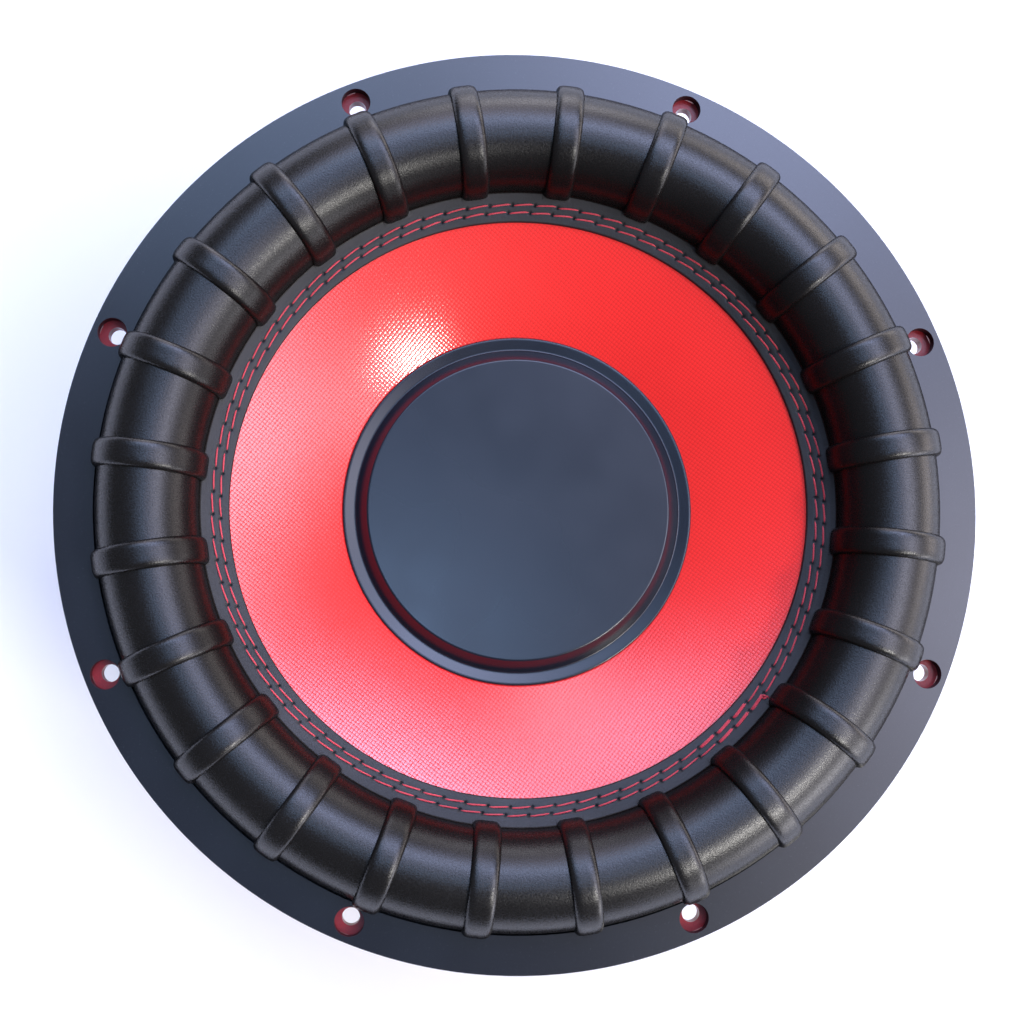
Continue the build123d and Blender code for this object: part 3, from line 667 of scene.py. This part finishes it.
def plastic_look(name, colour, roughness, grain=0.5 * MM, depth=0.02 * MM, coat=0.0):
    """Moulded plastic with a speckled grain, bare or under a clear gloss."""
    look = Look(name, Coat_Weight=coat, Coat_Roughness=0.08)
    speck = look.noise(grain, 3.0)
    cloud = look.noise(12 * MM, 2.0)
    dark = tuple(0.85 * c for c in colour)
    rough = (speck, (0.3, roughness - 0.06), (0.7, roughness + 0.08))
    return look.surface((cloud, (0.3, dark), (0.7, colour)), rough, speck, depth)


def cloth_look(name, dark, light, pitch, turn=20.0):
    """Open resin-stiffened cloth, as on a spider."""
    look = Look(name, Sheen_Weight=0.15)
    weave = weave_height(look, pitch, turn)
    return look.surface((weave, (0.05, dark), (0.6, light)), (weave, (0.1, 0.85), (0.8, 0.6)),
                        weave, 0.12 * MM)


def pulp_look(name, dark, light):
    """Pressed paper pulp with short fibres."""
    look = Look(name)
    fibre = look.noise(1.2 * MM, 5.0, 0.7)
    return look.surface((fibre, (0.35, dark), (0.65, light)), (fibre, (0.3, 0.75), (0.7, 0.9)),
                        fibre, 0.08 * MM)


def braid_look():
    """Braided copper strands, a little tarnished."""
    look = Look("lead_tinsel", Metallic=0.7)
    strand = look.noise(0.25 * MM, 2.0)
    colour = (strand, (0.3, (0.36, 0.22, 0.13)), (0.7, (0.72, 0.52, 0.36)))
    return look.surface(colour, (strand, (0.3, 0.35), (0.7, 0.55)), strand, 0.06 * MM)


def winding_look():
    """Enamelled copper wire wound in close turns."""
    look = Look("coil_winding", Metallic=0.9, Coat_Weight=0.5, Coat_Roughness=0.15)
    height = look.node("SeparateXYZ", 2, Vector=look.place)
    turn = look.math("ABSOLUTE", look.math("SINE", look.math("MULTIPLY", height, math.pi / WIRE_PITCH)))
    colour = (turn, (0.0, (0.20, 0.06, 0.02)), (0.6, (0.72, 0.30, 0.14)))
    return look.surface(colour, (turn, (0.0, 0.5), (0.7, 0.28)), turn, 0.2 * MM)


def dress(obj, look):
    obj.data.materials.clear()
    obj.data.materials.append(look.material)


def dress_node(node, look):
    """Puts a look on the material slots of a CAD node that stays in view."""
    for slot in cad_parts[node].material_slots:
        slot.material = look.material


def place(obj, look, body, node, slot):
    """Finishes a rigid piece: its look, the body it rides, the CAD node it replaces."""
    dress(obj, look)
    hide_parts(node)
    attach(obj, body)


# ---- gasket ----

def make_gasket(look):
    """The trim ring, cut through at the bolt holes, with every edge softly rounded."""
    obj = lathe("mounting_gasket_ring", [
        (GASKET_INNER_R, GASKET_FOOT_Z),
        (GASKET_OUTER_R, GASKET_FOOT_Z),
        (GASKET_OUTER_R, GASKET_TOP_Z - GASKET_FALL),
        (GASKET_INNER_R, GASKET_TOP_Z),
    ])
    drill_points = []
    drill_faces = []
    for i in range(BOLT_COUNT):
        x, y, _ = polar(BOLT_CIRCLE_R, BOLT_PHASE + i * ALL_ROUND / BOLT_COUNT, 0)
        tube(drill_points, drill_faces, [(x, y, GASKET_FOOT_Z - MM), (x, y, GASKET_TOP_Z + MM)],
             GASKET_HOLE_R, sides=GASKET_HOLE_SIDES)
    drills = new_object("drills", drill_points, drill_faces)
    cut = obj.modifiers.new("holes", "BOOLEAN")
    cut.object = drills
    cut.operation = "DIFFERENCE"
    edge = obj.modifiers.new("edges", "BEVEL")
    edge.width = GASKET_ROUND
    edge.segments = 4
    edge.limit_method = "ANGLE"
    edge.angle_limit = math.radians(SHARP_ANGLE)
    edge.harden_normals = True
    apply_modifiers(obj)
    bpy.data.objects.remove(drills)
    place(obj, look, "chassis", "mounting_gasket", "gasket_rubber")


# ---- surround ----

def band_top(radius):
    """Height of the band's upper face, which slopes up outward."""
    return BAND_Z + BAND_SLOPE * (radius - BAND_INNER_R)


def roll_profile():
    """The roll's outer face from the outer flange to the band: (point, normal, rib share) rows."""
    rows = []
    leg_outer_r = ROLL_CENTRE_R + ROLL_R
    leg_inner_r = ROLL_CENTRE_R - ROLL_R
    flange_z = GASKET_FOOT_Z - GLUE_GAP
    outer = Vector((1.0, 0.0))
    upward = Vector((0.0, 1.0))
    band_normal = Vector((-BAND_SLOPE, 1.0)).normalized()

    def add(r, z, normal, rib):
        rows.append((Vector((r, z)), normal, rib))

    add(SURROUND_R, flange_z, upward, 0)
    for k in range(5):
        turn = math.radians(90 * (1 - k / 4))
        normal = Vector((math.cos(turn), math.sin(turn)))
        add(leg_outer_r + OUTER_FILLET * (1 - math.cos(turn)), flange_z + OUTER_FILLET * (1 - math.sin(turn)),
            normal, 0)
    for z in OUTER_LEG_ROWS:
        add(leg_outer_r, z * MM, outer, smoothstep(RIB_FOOT_LOW, RIB_FOOT_HIGH, z))
    for k in range(ROLL_STEPS + 1):
        turn = math.radians(180 * k / ROLL_STEPS)
        normal = Vector((math.cos(turn), math.sin(turn)))
        add(ROLL_CENTRE_R + ROLL_R * normal.x, ROLL_CENTRE_Z + ROLL_R * normal.y, normal, 1)
    corner_z = band_top(leg_inner_r)
    for z in INNER_LEG_ROWS:
        add(leg_inner_r, z * MM, -outer, 1)
    centre = Vector((leg_inner_r - INNER_FILLET, corner_z + INNER_FILLET * INNER_FILLET_LIFT))
    end_turn = math.atan2(band_normal.y, band_normal.x)
    for k in range(8):
        turn = math.pi + (end_turn - math.pi) * k / 7
        normal = Vector((math.cos(turn), math.sin(turn)))
        share = 1 - smoothstep(2, 8, k)
        add(centre.x - INNER_FILLET * normal.x, centre.y - INNER_FILLET * normal.y, normal, share)
    for r in SEAM_ROWS:
        add(r * MM, band_top(r * MM), band_normal, 0)
    return rows


def rib_share(across):
    """How much of the rib's height stands at a share of its half width: round shoulders, a crisp foot."""
    return math.sqrt(max(1 - abs(across) ** RIB_SQUARENESS, 0.0))


def rib_columns():
    """Shares of the half width across one rib, closer together toward its feet."""
    side = [math.sin(math.pi / 2 * k / RIB_STEPS) for k in range(RIB_STEPS + 1)] + [RIB_HOLD]
    return [-share for share in reversed(side)] + side[1:]


def roll_inside():
    """The roll's inner face from the band's seam back to the outer flange, as (r, z) points."""
    inside_r = ROLL_R - ROLL_T
    inside = [(BAND_SEAM_R, band_top(BAND_SEAM_R) - BAND_T)]
    inside.append((ROLL_CENTRE_R - inside_r - MM, band_top(ROLL_CENTRE_R - inside_r) - BAND_T))
    for k in range(ROLL_INSIDE_STEPS + 1):
        turn = math.radians(180 - 180 * k / ROLL_INSIDE_STEPS)
        inside.append((ROLL_CENTRE_R + inside_r * math.cos(turn), ROLL_CENTRE_Z + inside_r * math.sin(turn)))
    flange_foot_z = GASKET_FOOT_Z - FLANGE_FOOT_DROP
    inside.append((ROLL_CENTRE_R + inside_r, flange_foot_z))
    inside.append((SURROUND_R, flange_foot_z))
    return inside


def make_roll(rubber, band):
    """The high roll with its ribs, as one closed skin with an inner face."""
    outside = roll_profile()
    rows = outside + [(Vector(point), Vector((0, 0)), 0) for point in roll_inside()]
    vertices = []
    pitch = ALL_ROUND / RIB_COUNT
    columns = rib_columns()
    columns_per_rib = len(columns) + RIB_GAP_COLUMNS
    for rib in range(RIB_COUNT):
        middle = RIB_PHASE + rib * pitch
        for column in range(columns_per_rib):
            for point, normal, along in rows:
                if column < len(columns):
                    degrees = middle + math.degrees(columns[column] * RIB_HALF_WIDTH / point.x)
                    raised = RIB_PROUD * along * rib_share(columns[column])
                else:
                    edge = math.degrees(columns[-1] * RIB_HALF_WIDTH / point.x)
                    share = (column - len(columns) + 1) / (RIB_GAP_COLUMNS + 1)
                    degrees = middle + edge + (pitch - 2 * edge) * share
                    raised = 0.0
                moved = point + normal * raised
                vertices.append(polar(moved.x, degrees, moved.y))
    width = len(rows)
    faces = grid_faces(RIB_COUNT * columns_per_rib, width, True, True)
    obj = new_object("surround_roll", vertices, faces)
    obj.data.set_sharp_from_angle(angle=math.radians(SHARP_ANGLE))
    obj.data.materials.append(rubber.material)
    obj.data.materials.append(band.material)
    first_band_row = len(outside) - len(SEAM_ROWS) - 1
    shades = [1 if first_band_row <= i % width < len(outside) else 0 for i in range(len(obj.data.polygons))]
    obj.data.polygons.foreach_set("material_index", shades)
    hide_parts("surround")
    radial_blend(obj)


def seam_drift(degrees):
    """How far the seam has drifted round the cone at a place, in stitches."""
    return STITCH_DRIFT * math.cos(math.radians(degrees - STITCH_DRIFT_FROM))


def stitch_angle(row, count):
    """Angle of a place along a row, counted in stitches."""
    pitch = ALL_ROUND / STITCH_COUNT
    degrees = (count + STITCH_PHASES[row]) * pitch
    return degrees + pitch * seam_drift(degrees)


def thread_dip(r, degrees):
    """How far the tight thread pulls the band down at a place: a soft groove and needle holes."""
    pitch = ALL_ROUND / STITCH_COUNT
    dip = 0.0
    for row, row_r in enumerate(STITCH_ROWS):
        off_row = (r - row_r) / GROOVE_HALF_WIDTH
        if abs(off_row) > GROOVE_REACH:
            continue
        groove = GROOVE_DEPTH * math.exp(-off_row * off_row)
        count = degrees / pitch - STITCH_PHASES[row] - seam_drift(degrees) + 0.5
        off_hole = math.radians((count - round(count)) * pitch) * r / NEEDLE_HALF_WIDTH
        hole = NEEDLE_DEPTH * math.exp(-off_hole * off_hole - off_row * off_row)
        dip += groove + hole
    return dip


def make_band(look):
    """The flat inner band glued over the cone's edge, drawn in along the stitching."""
    steps = STITCH_COUNT * STEPS_PER_STITCH
    edge = BAND_INNER_R + BAND_EDGE_ROUND
    top = [BAND_SEAM_R + (edge - BAND_SEAM_R) * k / BAND_RINGS for k in range(BAND_RINGS + 1)]
    vertices = []
    for i in range(steps):
        degrees = ALL_ROUND * i / steps
        vertices.append(polar(BAND_SEAM_R, degrees, band_top(BAND_SEAM_R) - BAND_T))
        for r in top:
            vertices.append(polar(r, degrees, band_top(r) - thread_dip(r, degrees)))
        for k in range(1, BAND_EDGE_STEPS + 1):
            turn = math.radians(90 * k / BAND_EDGE_STEPS)
            fall = BAND_EDGE_ROUND * (1 - math.cos(turn)) + BAND_EDGE_DROOP * k / BAND_EDGE_STEPS
            vertices.append(polar(edge - BAND_EDGE_ROUND * math.sin(turn), degrees, band_top(edge) - fall))
        vertices.append(polar(BAND_INNER_R, degrees, band_top(BAND_INNER_R) - BAND_T))
    width = len(vertices) // steps
    obj = new_object("surround_band", vertices, grid_faces(steps, width, True, True))
    obj.data.set_sharp_from_angle(angle=math.radians(SHARP_ANGLE))
    place(obj, look, "cone_assembly", "surround", "surround_foam_rubber")


def add_stitch(vertices, faces, row_r, start, end, shift=0.0, thick=1.0):
    """One stitch: out of its hole, flat along the band with a slight slant, into the next."""
    margin = STITCH_MARGIN * (end - start)
    points = []
    sizes = []
    for k in range(STITCH_STEPS + 1):
        t = k / STITCH_STEPS
        degrees = start + margin + (end - start - 2 * margin) * t
        r = row_r + shift + STITCH_SLANT * (1 - 2 * t)
        lift = min(smoothstep(0.0, STITCH_ENDS, t), smoothstep(0.0, STITCH_ENDS, 1 - t))
        surface_z = band_top(r) - THREAD_SINK
        points.append(polar(r, degrees, surface_z + THREAD_R * thick * (1.55 * lift - 0.75)))
        sizes.append(THREAD_R * thick * (0.72 + 0.28 * lift))
    tube(vertices, faces, points, sizes, lobes=THREAD_LOBES, twist=THREAD_TWIST)


def add_knot(vertices, faces, row_r, degrees):
    """The cut thread end at the back-tack: a small knot and a short tail."""
    z = band_top(row_r) + THREAD_R
    x, y, _ = polar(row_r, degrees, 0)
    long_r, short_r = KNOT_R
    loop = []
    for k in range(15):
        turn = math.tau * k / 12
        loop.append((x + long_r * math.cos(turn), y + short_r * math.sin(turn),
                     z + short_r * math.sin(turn * 1.5)))
    tube(vertices, faces, loop, KNOT_THREAD_R, sides=8)
    tail = [polar(row_r + out * MM, degrees + on, z + up * MM) for out, on, up in KNOT_TAIL]
    tube(vertices, faces, curve_points(tail, 6), TAIL_THREAD_R, sides=8)


def make_stitches(row, node, look):
    """A whole row of stitches, doubled where the seam is back-tacked."""
    rng = random.Random(STITCH_SEED + row)
    row_r = STITCH_ROWS[row]
    vertices = []
    faces = []
    for index in range(STITCH_COUNT):
        start = stitch_angle(row, index - 0.5)
        end = stitch_angle(row, index + 0.5)
        middle = ((start + end) / 2 + 180) % ALL_ROUND - 180
        wander = rng.uniform(-STITCH_WANDER, STITCH_WANDER)
        if BACK_TACK_FROM < middle < BACK_TACK_TO:
            add_stitch(vertices, faces, row_r, start, end, -BACK_TACK_SHIFT, BACK_TACK_THICK)
            add_stitch(vertices, faces, row_r, start, end, BACK_TACK_SHIFT, BACK_TACK_THICK)
        else:
            add_stitch(vertices, faces, row_r, start, end, wander)
    if row == 1:
        add_knot(vertices, faces, row_r + KNOT_SHIFT, BACK_TACK_TO + KNOT_PAST)
    obj = new_object(node.replace("stitch_row", "stitches"), vertices, faces)
    place(obj, look, "cone_assembly", node, "stitch_thread")


# ---- cone and cap ----

def cone_curve():
    """The cone's top from neck to lip: an arc, then the flatter lip."""
    knee = (CONE_KNEE_R, band_top(CONE_KNEE_R) - BAND_T - SKIN_GAP)
    centre_r, centre_z, radius = circle_through(CONE_START, CONE_MIDDLE, knee)
    first = math.atan2(CONE_START[1] - centre_z, CONE_START[0] - centre_r)
    last = math.atan2(knee[1] - centre_z, knee[0] - centre_r)
    points = []
    for k in range(CONE_STEPS + 1):
        turn = first + (last - first) * k / CONE_STEPS
        points.append((centre_r + radius * math.cos(turn), centre_z + radius * math.sin(turn)))
    lip_z = band_top(CONE_LIP_R) - BAND_T - SKIN_GAP
    for k in range(1, CONE_LIP_STEPS + 1):
        t = k / CONE_LIP_STEPS
        points.append((knee[0] + (CONE_LIP_R - knee[0]) * t, knee[1] + (lip_z - knee[1]) * t))
    return points


def make_cone_skin(look):
    """The thin woven skin over the cone."""
    top = cone_curve()
    foot = [(r, z - SKIN_T) for r, z in top]
    obj = lathe("cone_woven_skin", foot + top[::-1])
    place(obj, look, "cone_assembly", "cone_skin", "cone_weave")


def make_cone_body(look):
    """The stiff cone behind the skin, with its neck tube and rounded outer edge."""
    top = [(r, z - SKIN_T - GLUE_GAP) for r, z in cone_curve()]
    foot = [(r, z - CONE_T) for r, z in top]
    neck_r, _, neck_z, _ = span("cone_body")
    neck = [(neck_r, neck_z), (foot[0][0], neck_z)]
    outline = neck + foot[1:] + top[::-1] + [(neck_r, top[0][1])]
    obj = lathe("cone_pulp_body", outline, HIDDEN_ROUND_STEPS)
    place(obj, look, "cone_assembly", "cone_body", "cone_pulp")


def make_dust_cap(look):
    """The cap like a shallow hat: rounded rim, lip that falls inward, steep wall, flat raised disc."""
    outline = rounded([
        (0.0, CAP_DISC_Z - CAP_T, 0),
        (CAP_DISC_R - CAP_WALL_INSET, CAP_DISC_Z - CAP_T, CAP_INSIDE_ROUND),
        (CAP_CREASE_R - CAP_WALL_INSET, CAP_CREASE_Z - CAP_T, CAP_INSIDE_ROUND),
        (CAP_RIM_R - CAP_T, CAP_RIM_Z - CAP_T, CAP_RIM_INSIDE_ROUND),
        (CAP_RIM_R - CAP_T, CAP_FOOT_Z, 0),
        (CAP_RIM_R, CAP_FOOT_Z, 0),
        (CAP_RIM_R, CAP_RIM_Z, CAP_RIM_ROUND),
        (CAP_CREASE_R, CAP_CREASE_Z, CAP_CREASE_ROUND),
        (CAP_DISC_R, CAP_DISC_Z, CAP_DISC_ROUND),
        (0.0, CAP_DISC_Z, 0),
    ], steps=8)
    obj = lathe("dust_cap_raised", outline)
    place(obj, look, "cone_assembly", "dust_cap", "cap_plastic")


# ---- suspension and leads ----

def make_spider(node, wave_sign, look):
    """A corrugated cloth disc with its flat rim and glued neck."""
    inner_r, outer_r, _, high_z = span(node)
    rim_z = high_z - SPIDER_NECK_H
    neck_r = inner_r + SPIDER_T / 2
    line = [
        (neck_r, high_z),
        (neck_r, rim_z + 0.9 * MM),
        (inner_r + 0.6 * MM, rim_z + 0.3 * MM),
        (inner_r + 1.3 * MM, rim_z),
    ]
    count = SPIDER_WAVES * SPIDER_WAVE_STEPS
    for k in range(count + 1):
        t = k / count
        height = wave_sign * SPIDER_WAVE_HEIGHT * math.sin(math.pi * SPIDER_WAVES * t)
        line.append((SPIDER_WAVE_FROM + (SPIDER_WAVE_TO - SPIDER_WAVE_FROM) * t, rim_z + height))
    line.append((outer_r, rim_z))
    path = [Vector(p) for p in line]
    upper = []
    lower = []
    for i, point in enumerate(path):
        along = (path[min(i + 1, len(path) - 1)] - path[max(i - 1, 0)]).normalized()
        normal = Vector((-along.y, along.x)) * SPIDER_T / 2
        upper.append(tuple(point + normal))
        lower.append(tuple(point - normal))
    obj = lathe(node + "_cloth", lower + upper[::-1], HIDDEN_ROUND_STEPS)
    dress(obj, look)
    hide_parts(node)
    radial_blend(obj)


def make_lead(number, look, solder):
    """A braided lead arching from its solder tab to the coil's collar."""
    side = 0 if number <= 2 else 180
    across = 1 if number % 2 else -1
    degrees = side + across * math.degrees(math.asin(POST_Y / LEAD_ANCHOR_R))
    route = [polar(r * MM, degrees, z * MM) for r, z in LEAD_ROUTE]
    points = curve_points(route, 24)
    vertices = []
    faces = []
    tube(vertices, faces, points, LEAD_R, sides=LEAD_SIDES)
    for i in range(len(points)):
        for k in range(LEAD_SIDES):
            strand = k * math.tau / LEAD_SIDES * LEAD_STRANDS
            weave = math.sin(strand + i * LEAD_WEAVE_STEP) * math.sin(strand - i * LEAD_WEAVE_STEP)
            at = i * LEAD_SIDES + k
            vertices[at] = points[i] + (vertices[at] - points[i]) * (0.97 + 0.09 * weave)
    obj = new_object(f"tinsel_lead_{number}_braid", vertices, faces)
    dress(obj, look)
    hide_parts(f"tinsel_lead_{number}")
    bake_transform(obj)
    add_solder(number, degrees, solder)


def add_solder(number, degrees, look):
    """The solder that holds a lead on its tab."""
    tab_top_z = span("solder_tabs_right")[3]
    x, y, _ = polar(SOLDER_R, degrees, 0)
    size_x, size_y, size_z = SOLDER_SIZE
    bpy.ops.mesh.primitive_ico_sphere_add(subdivisions=4, radius=1.0)
    obj = bpy.context.object
    obj.name = f"solder_joint_{number}"
    for vertex in obj.data.vertices:
        lump = 1 + SOLDER_LUMPS * math.sin(5 * vertex.co.x + number) * math.cos(4 * vertex.co.y)
        vertex.co = (x + size_x * lump * vertex.co.x, y + size_y * lump * vertex.co.y,
                     tab_top_z + size_z * lump * max(vertex.co.z, -0.02))
    obj.data.polygons.foreach_set("use_smooth", [True] * len(obj.data.polygons))
    dress(obj, look)
    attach(obj, "chassis")


# ---- motor ----

def make_ring(node, look, slot, radius):
    """A plain turned ring with rounded edges, over a CAD ring of the same size."""
    inner_r, outer_r, low_z, high_z = span(node)
    outline = rounded([(inner_r, low_z), (outer_r, low_z), (outer_r, high_z), (inner_r, high_z)], radius)
    obj = lathe(node + "_turned", outline, HIDDEN_ROUND_STEPS)
    place(obj, look, "chassis", node, slot)


def make_t_yoke(look):
    """Back plate with a chamfered, rounded edge, and the vented pole in the middle."""
    _, _, low_z, pole_top_z = span("t_yoke")
    plate_top_z = low_z + YOKE_PLATE_T
    recess_z = plate_top_z - YOKE_RECESS_DEPTH
    seat_z = low_z + SCREEN_SEAT_DEPTH
    outline = rounded([
        (YOKE_PLATE_R, plate_top_z, 0.5 * MM),
        (YOKE_RECESS_R, plate_top_z, 0.4 * MM),
        (YOKE_RECESS_R, recess_z, 0.6 * MM),
        (POLE_R, recess_z, 0.4 * MM),
        (POLE_R, pole_top_z, 1.5 * MM),
        (VENT_R, pole_top_z, 1.5 * MM),
        (VENT_R, low_z + VENT_FLARE_H, 3 * MM),
        (VENT_MOUTH_R, seat_z, 0.1 * MM),
        (SCREEN_SEAT_R, seat_z, 0.1 * MM),
        (SCREEN_SEAT_R, low_z, 0.4 * MM),
        (YOKE_FOOT_R, low_z, 2.0 * MM),
        (YOKE_PLATE_R, low_z + YOKE_STEP_H, 2.0 * MM),
    ], steps=5)
    obj = lathe("t_yoke_forged", outline, HIDDEN_ROUND_STEPS)
    place(obj, look, "chassis", "t_yoke", "motor_steel")


# ---- terminals ----

def make_spring(number, look):
    """The coil spring behind a push button, with closed ends."""
    low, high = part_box(f"button_spring_{number}")
    middle = (low + high) / 2
    outward = 1 if number <= 2 else -1
    coil_r = (high.z - low.z) / 2 - SPRING_WIRE_R
    length = high.x - low.x - 2 * SPRING_WIRE_R
    points = []
    steps = int(SPRING_TURNS * SPRING_STEPS_PER_TURN)
    for k in range(steps + 1):
        t = k / steps
        along = float(np.interp(t, SPRING_TURN_SHARES, SPRING_RISE_SHARES))
        turn = math.tau * SPRING_TURNS * t
        points.append((middle.x + outward * (along - 0.5) * length,
                       middle.y + coil_r * math.cos(turn), middle.z + coil_r * math.sin(turn)))
    vertices = []
    faces = []
    tube(vertices, faces, points, SPRING_WIRE_R)
    obj = new_object(f"button_spring_{number}_coil", vertices, faces)
    dress(obj, look)
    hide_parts(f"button_spring_{number}")
    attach(obj, "chassis")
    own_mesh(obj)


def make_button(number, look):
    """A push button turned about X: stud, collar, and a shaft with a shallow dish in its face."""
    node = f"terminal_button_{number}"
    low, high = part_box(node)
    outward = 1 if number <= 2 else -1
    rear_x = low.x if outward > 0 else -high.x
    front_x = high.x if outward > 0 else -low.x
    collar_x = rear_x + BUTTON_STUD_LENGTH
    collar_front_x = collar_x + BUTTON_COLLAR_T
    dish_x = front_x - BUTTON_DISH_DEPTH
    outline = rounded([
        (0.0, rear_x, 0),
        (BUTTON_STUD_R, rear_x, 0.5 * MM),
        (BUTTON_STUD_R, collar_x, 0.1 * MM),
        (BUTTON_COLLAR_R, collar_x, 0.3 * MM),
        (BUTTON_COLLAR_R, collar_front_x, 0.3 * MM),
        (BUTTON_SHAFT_R, collar_front_x, 0.1 * MM),
        (BUTTON_SHAFT_R, front_x, 1.1 * MM),
        (BUTTON_LIP_R, front_x - BUTTON_LIP_FALL, 0.3 * MM),
        (BUTTON_DISH_R, dish_x, 0.3 * MM),
        (0.0, dish_x, 0),
    ], steps=5, hold=0.08 * MM)
    obj = lathe(f"push_button_{number}", outline, 64)
    middle_y = (low.y + high.y) / 2
    middle_z = (low.z + high.z) / 2
    for vertex in obj.data.vertices:
        x, y, along = vertex.co
        vertex.co = (outward * along, middle_y + outward * y, middle_z - x)
    place(obj, look, f"button_{number}", node, "button_red" if number % 2 else "button_black")


# ---- stage ----

def make_floor():
    """A plain pale floor under the back plate."""
    bpy.ops.mesh.primitive_plane_add(size=FLOOR_SIZE, location=(0, 0, cad_bounds[0][2]))
    floor = bpy.context.object
    floor.name = "floor"
    look = Look("floor_pale", Roughness=0.8)
    look.set("Base Color", look.ramp(look.noise(0.8, 2.0), (0.3, 0.90), (0.7, 0.93)))
    dress(floor, look)


def make_world():
    """Soft studio surroundings: a dim fill, and the glows that SKY_GLOWS places on the sky."""
    world = bpy.data.worlds.new("studio")
    bpy.context.scene.world = world
    world.use_nodes = True
    sky = Nodes(world.node_tree)
    direction = sky.node("TexCoord", "Generated")
    light = SKY_FILL
    for azimuth, elevation, sharpness, colour in SKY_GLOWS:
        toward = sky.vector("DOT_PRODUCT", "Value", i0=direction, i1=compass(azimuth, elevation))
        share = sky.math("POWER", sky.math("MAXIMUM", toward), sharpness)
        glow = sky.vector("SCALE", i0=colour, Scale=share)
        light = sky.vector("ADD", i0=light, i1=glow)
    sky.tree.links.new(light, sky.tree.nodes["Background"].inputs["Color"])


def compass(azimuth, elevation):
    """A unit vector toward a compass angle from +X and a height angle, in degrees."""
    turn = math.radians(azimuth)
    height = math.radians(elevation)
    level = math.cos(height)
    return Vector((level * math.cos(turn), level * math.sin(turn), math.sin(height)))


def make_key_light():
    """A soft panel light that looks at the speaker. It makes the glint on the cone."""
    light = bpy.data.lights.new("key", "AREA")
    light.shape = "RECTANGLE"
    light.size = KEY_WIDTH
    light.size_y = KEY_HEIGHT
    light.energy = KEY_POWER
    light.color = KEY_COLOUR
    lamp = bpy.data.objects.new("key", light)
    bpy.context.scene.collection.objects.link(lamp)
    toward = compass(KEY_AZIMUTH, KEY_ELEVATION)
    lamp.location = KEY_DISTANCE * toward
    lamp.rotation_euler = (-toward).to_track_quat("-Z", "Y").to_euler()


def make_camera():
    """Looking almost straight down the axis, from a little to the left and below."""
    camera = bpy.data.cameras.new("camera")
    camera.sensor_width = CAMERA_SENSOR
    camera.lens = CAMERA_LENS
    eye = bpy.data.objects.new("camera", camera)
    bpy.context.scene.collection.objects.link(eye)
    stand = Vector(CAMERA_PLACE)
    back = (stand - Vector(CAMERA_TARGET)).normalized()
    right = Vector((0, 1, 0)).cross(back).normalized()
    up = back.cross(right)
    eye.matrix_world = Matrix.Translation(stand) @ Matrix((right, up, back)).transposed().to_4x4()
    bpy.context.scene.camera = eye


# ---- assembly ----

def make_front():
    rubber = roll_look()
    band = band_look()
    thread = thread_look()
    make_gasket(gasket_look())
    make_roll(rubber, band)
    make_band(band)
    make_stitches(0, "stitch_row_inner", thread)
    make_stitches(1, "stitch_row_outer", thread)
    make_cone_skin(cone_look())
    make_cone_body(pulp_look("cone_pulp", (0.025, 0.022, 0.020), (0.045, 0.040, 0.037)))
    make_dust_cap(cap_look())


def make_inside():
    cloth = cloth_look("spider_cloth", (0.16, 0.08, 0.03), (0.50, 0.30, 0.12), 1.1 * MM)
    make_spider("spider_upper", 1, cloth)
    make_spider("spider_lower", -1, cloth)
    braid = braid_look()
    solder = metal_look("solder_tin", (0.62, 0.62, 0.64), 0.3)
    for number in range(1, 5):
        make_lead(number, braid, solder)
    spacer = plastic_look("spacer_plastic", (0.03, 0.03, 0.03), 0.5)
    make_ring("spider_spacer", spacer, "spacer_plastic", SPACER_ROUND)
    dress_node("voice_coil_former", metal_look("former_aluminium", (0.75, 0.76, 0.78), 0.35))
    dress_node("former_collar", pulp_look("collar_paper", (0.30, 0.20, 0.10), (0.45, 0.32, 0.18)))
    winding = winding_look()
    dress_node("voice_coil_inner", winding)
    dress_node("voice_coil_outer", winding)


def make_motor():
    steel = turned_metal_look("motor_black_zinc", (0.10, 0.10, 0.11), 0.36)
    ferrite = ferrite_look()
    dress_node("top_plate", steel)
    make_t_yoke(steel)
    for node in ("magnet_front", "magnet_rear"):
        make_ring(node, ferrite, "magnet_ferrite", MAGNET_ROUND)
    dress_node("shorting_sleeve", turned_metal_look("sleeve_copper", (0.72, 0.33, 0.20), 0.3))
    dress_node("vent_screen", metal_look("screen_steel", (0.16, 0.16, 0.17), 0.45))
    dress_node("frame_screws", metal_look("screw_black", (0.06, 0.06, 0.065), 0.35))
    dress_node("basket", paint_look())


def make_terminals():
    housing = plastic_look("terminal_plastic", (0.022, 0.022, 0.024), 0.5, 0.6 * MM, 0.05 * MM)
    board = plastic_look("terminal_board", (0.26, 0.17, 0.08), 0.45)
    brass = metal_look("tab_brass", (0.72, 0.52, 0.22), 0.3)
    zinc = metal_look("screw_zinc", (0.55, 0.55, 0.56), 0.32)
    spring = metal_look("spring_steel", (0.62, 0.62, 0.63), 0.25)
    red = plastic_look("button_red", (0.55, 0.012, 0.012), 0.25, 0.8 * MM, 0.006 * MM, 0.5)
    black = plastic_look("button_black", (0.015, 0.015, 0.016), 0.25, 0.8 * MM, 0.006 * MM, 0.5)
    for side in ("right", "left"):
        dress_node(f"terminal_base_{side}", board)
        dress_node(f"solder_tabs_{side}", brass)
        dress_node(f"terminal_screws_{side}", zinc)
    for number in range(1, 5):
        dress_node(f"terminal_housing_{number}", housing)
        make_button(number, red if number % 2 else black)
        make_spring(number, spring)


bpy.context.scene.view_settings.view_transform = "Standard"
make_camera()
make_front()
make_inside()
make_motor()
make_terminals()
make_floor()
make_world()
make_key_light()
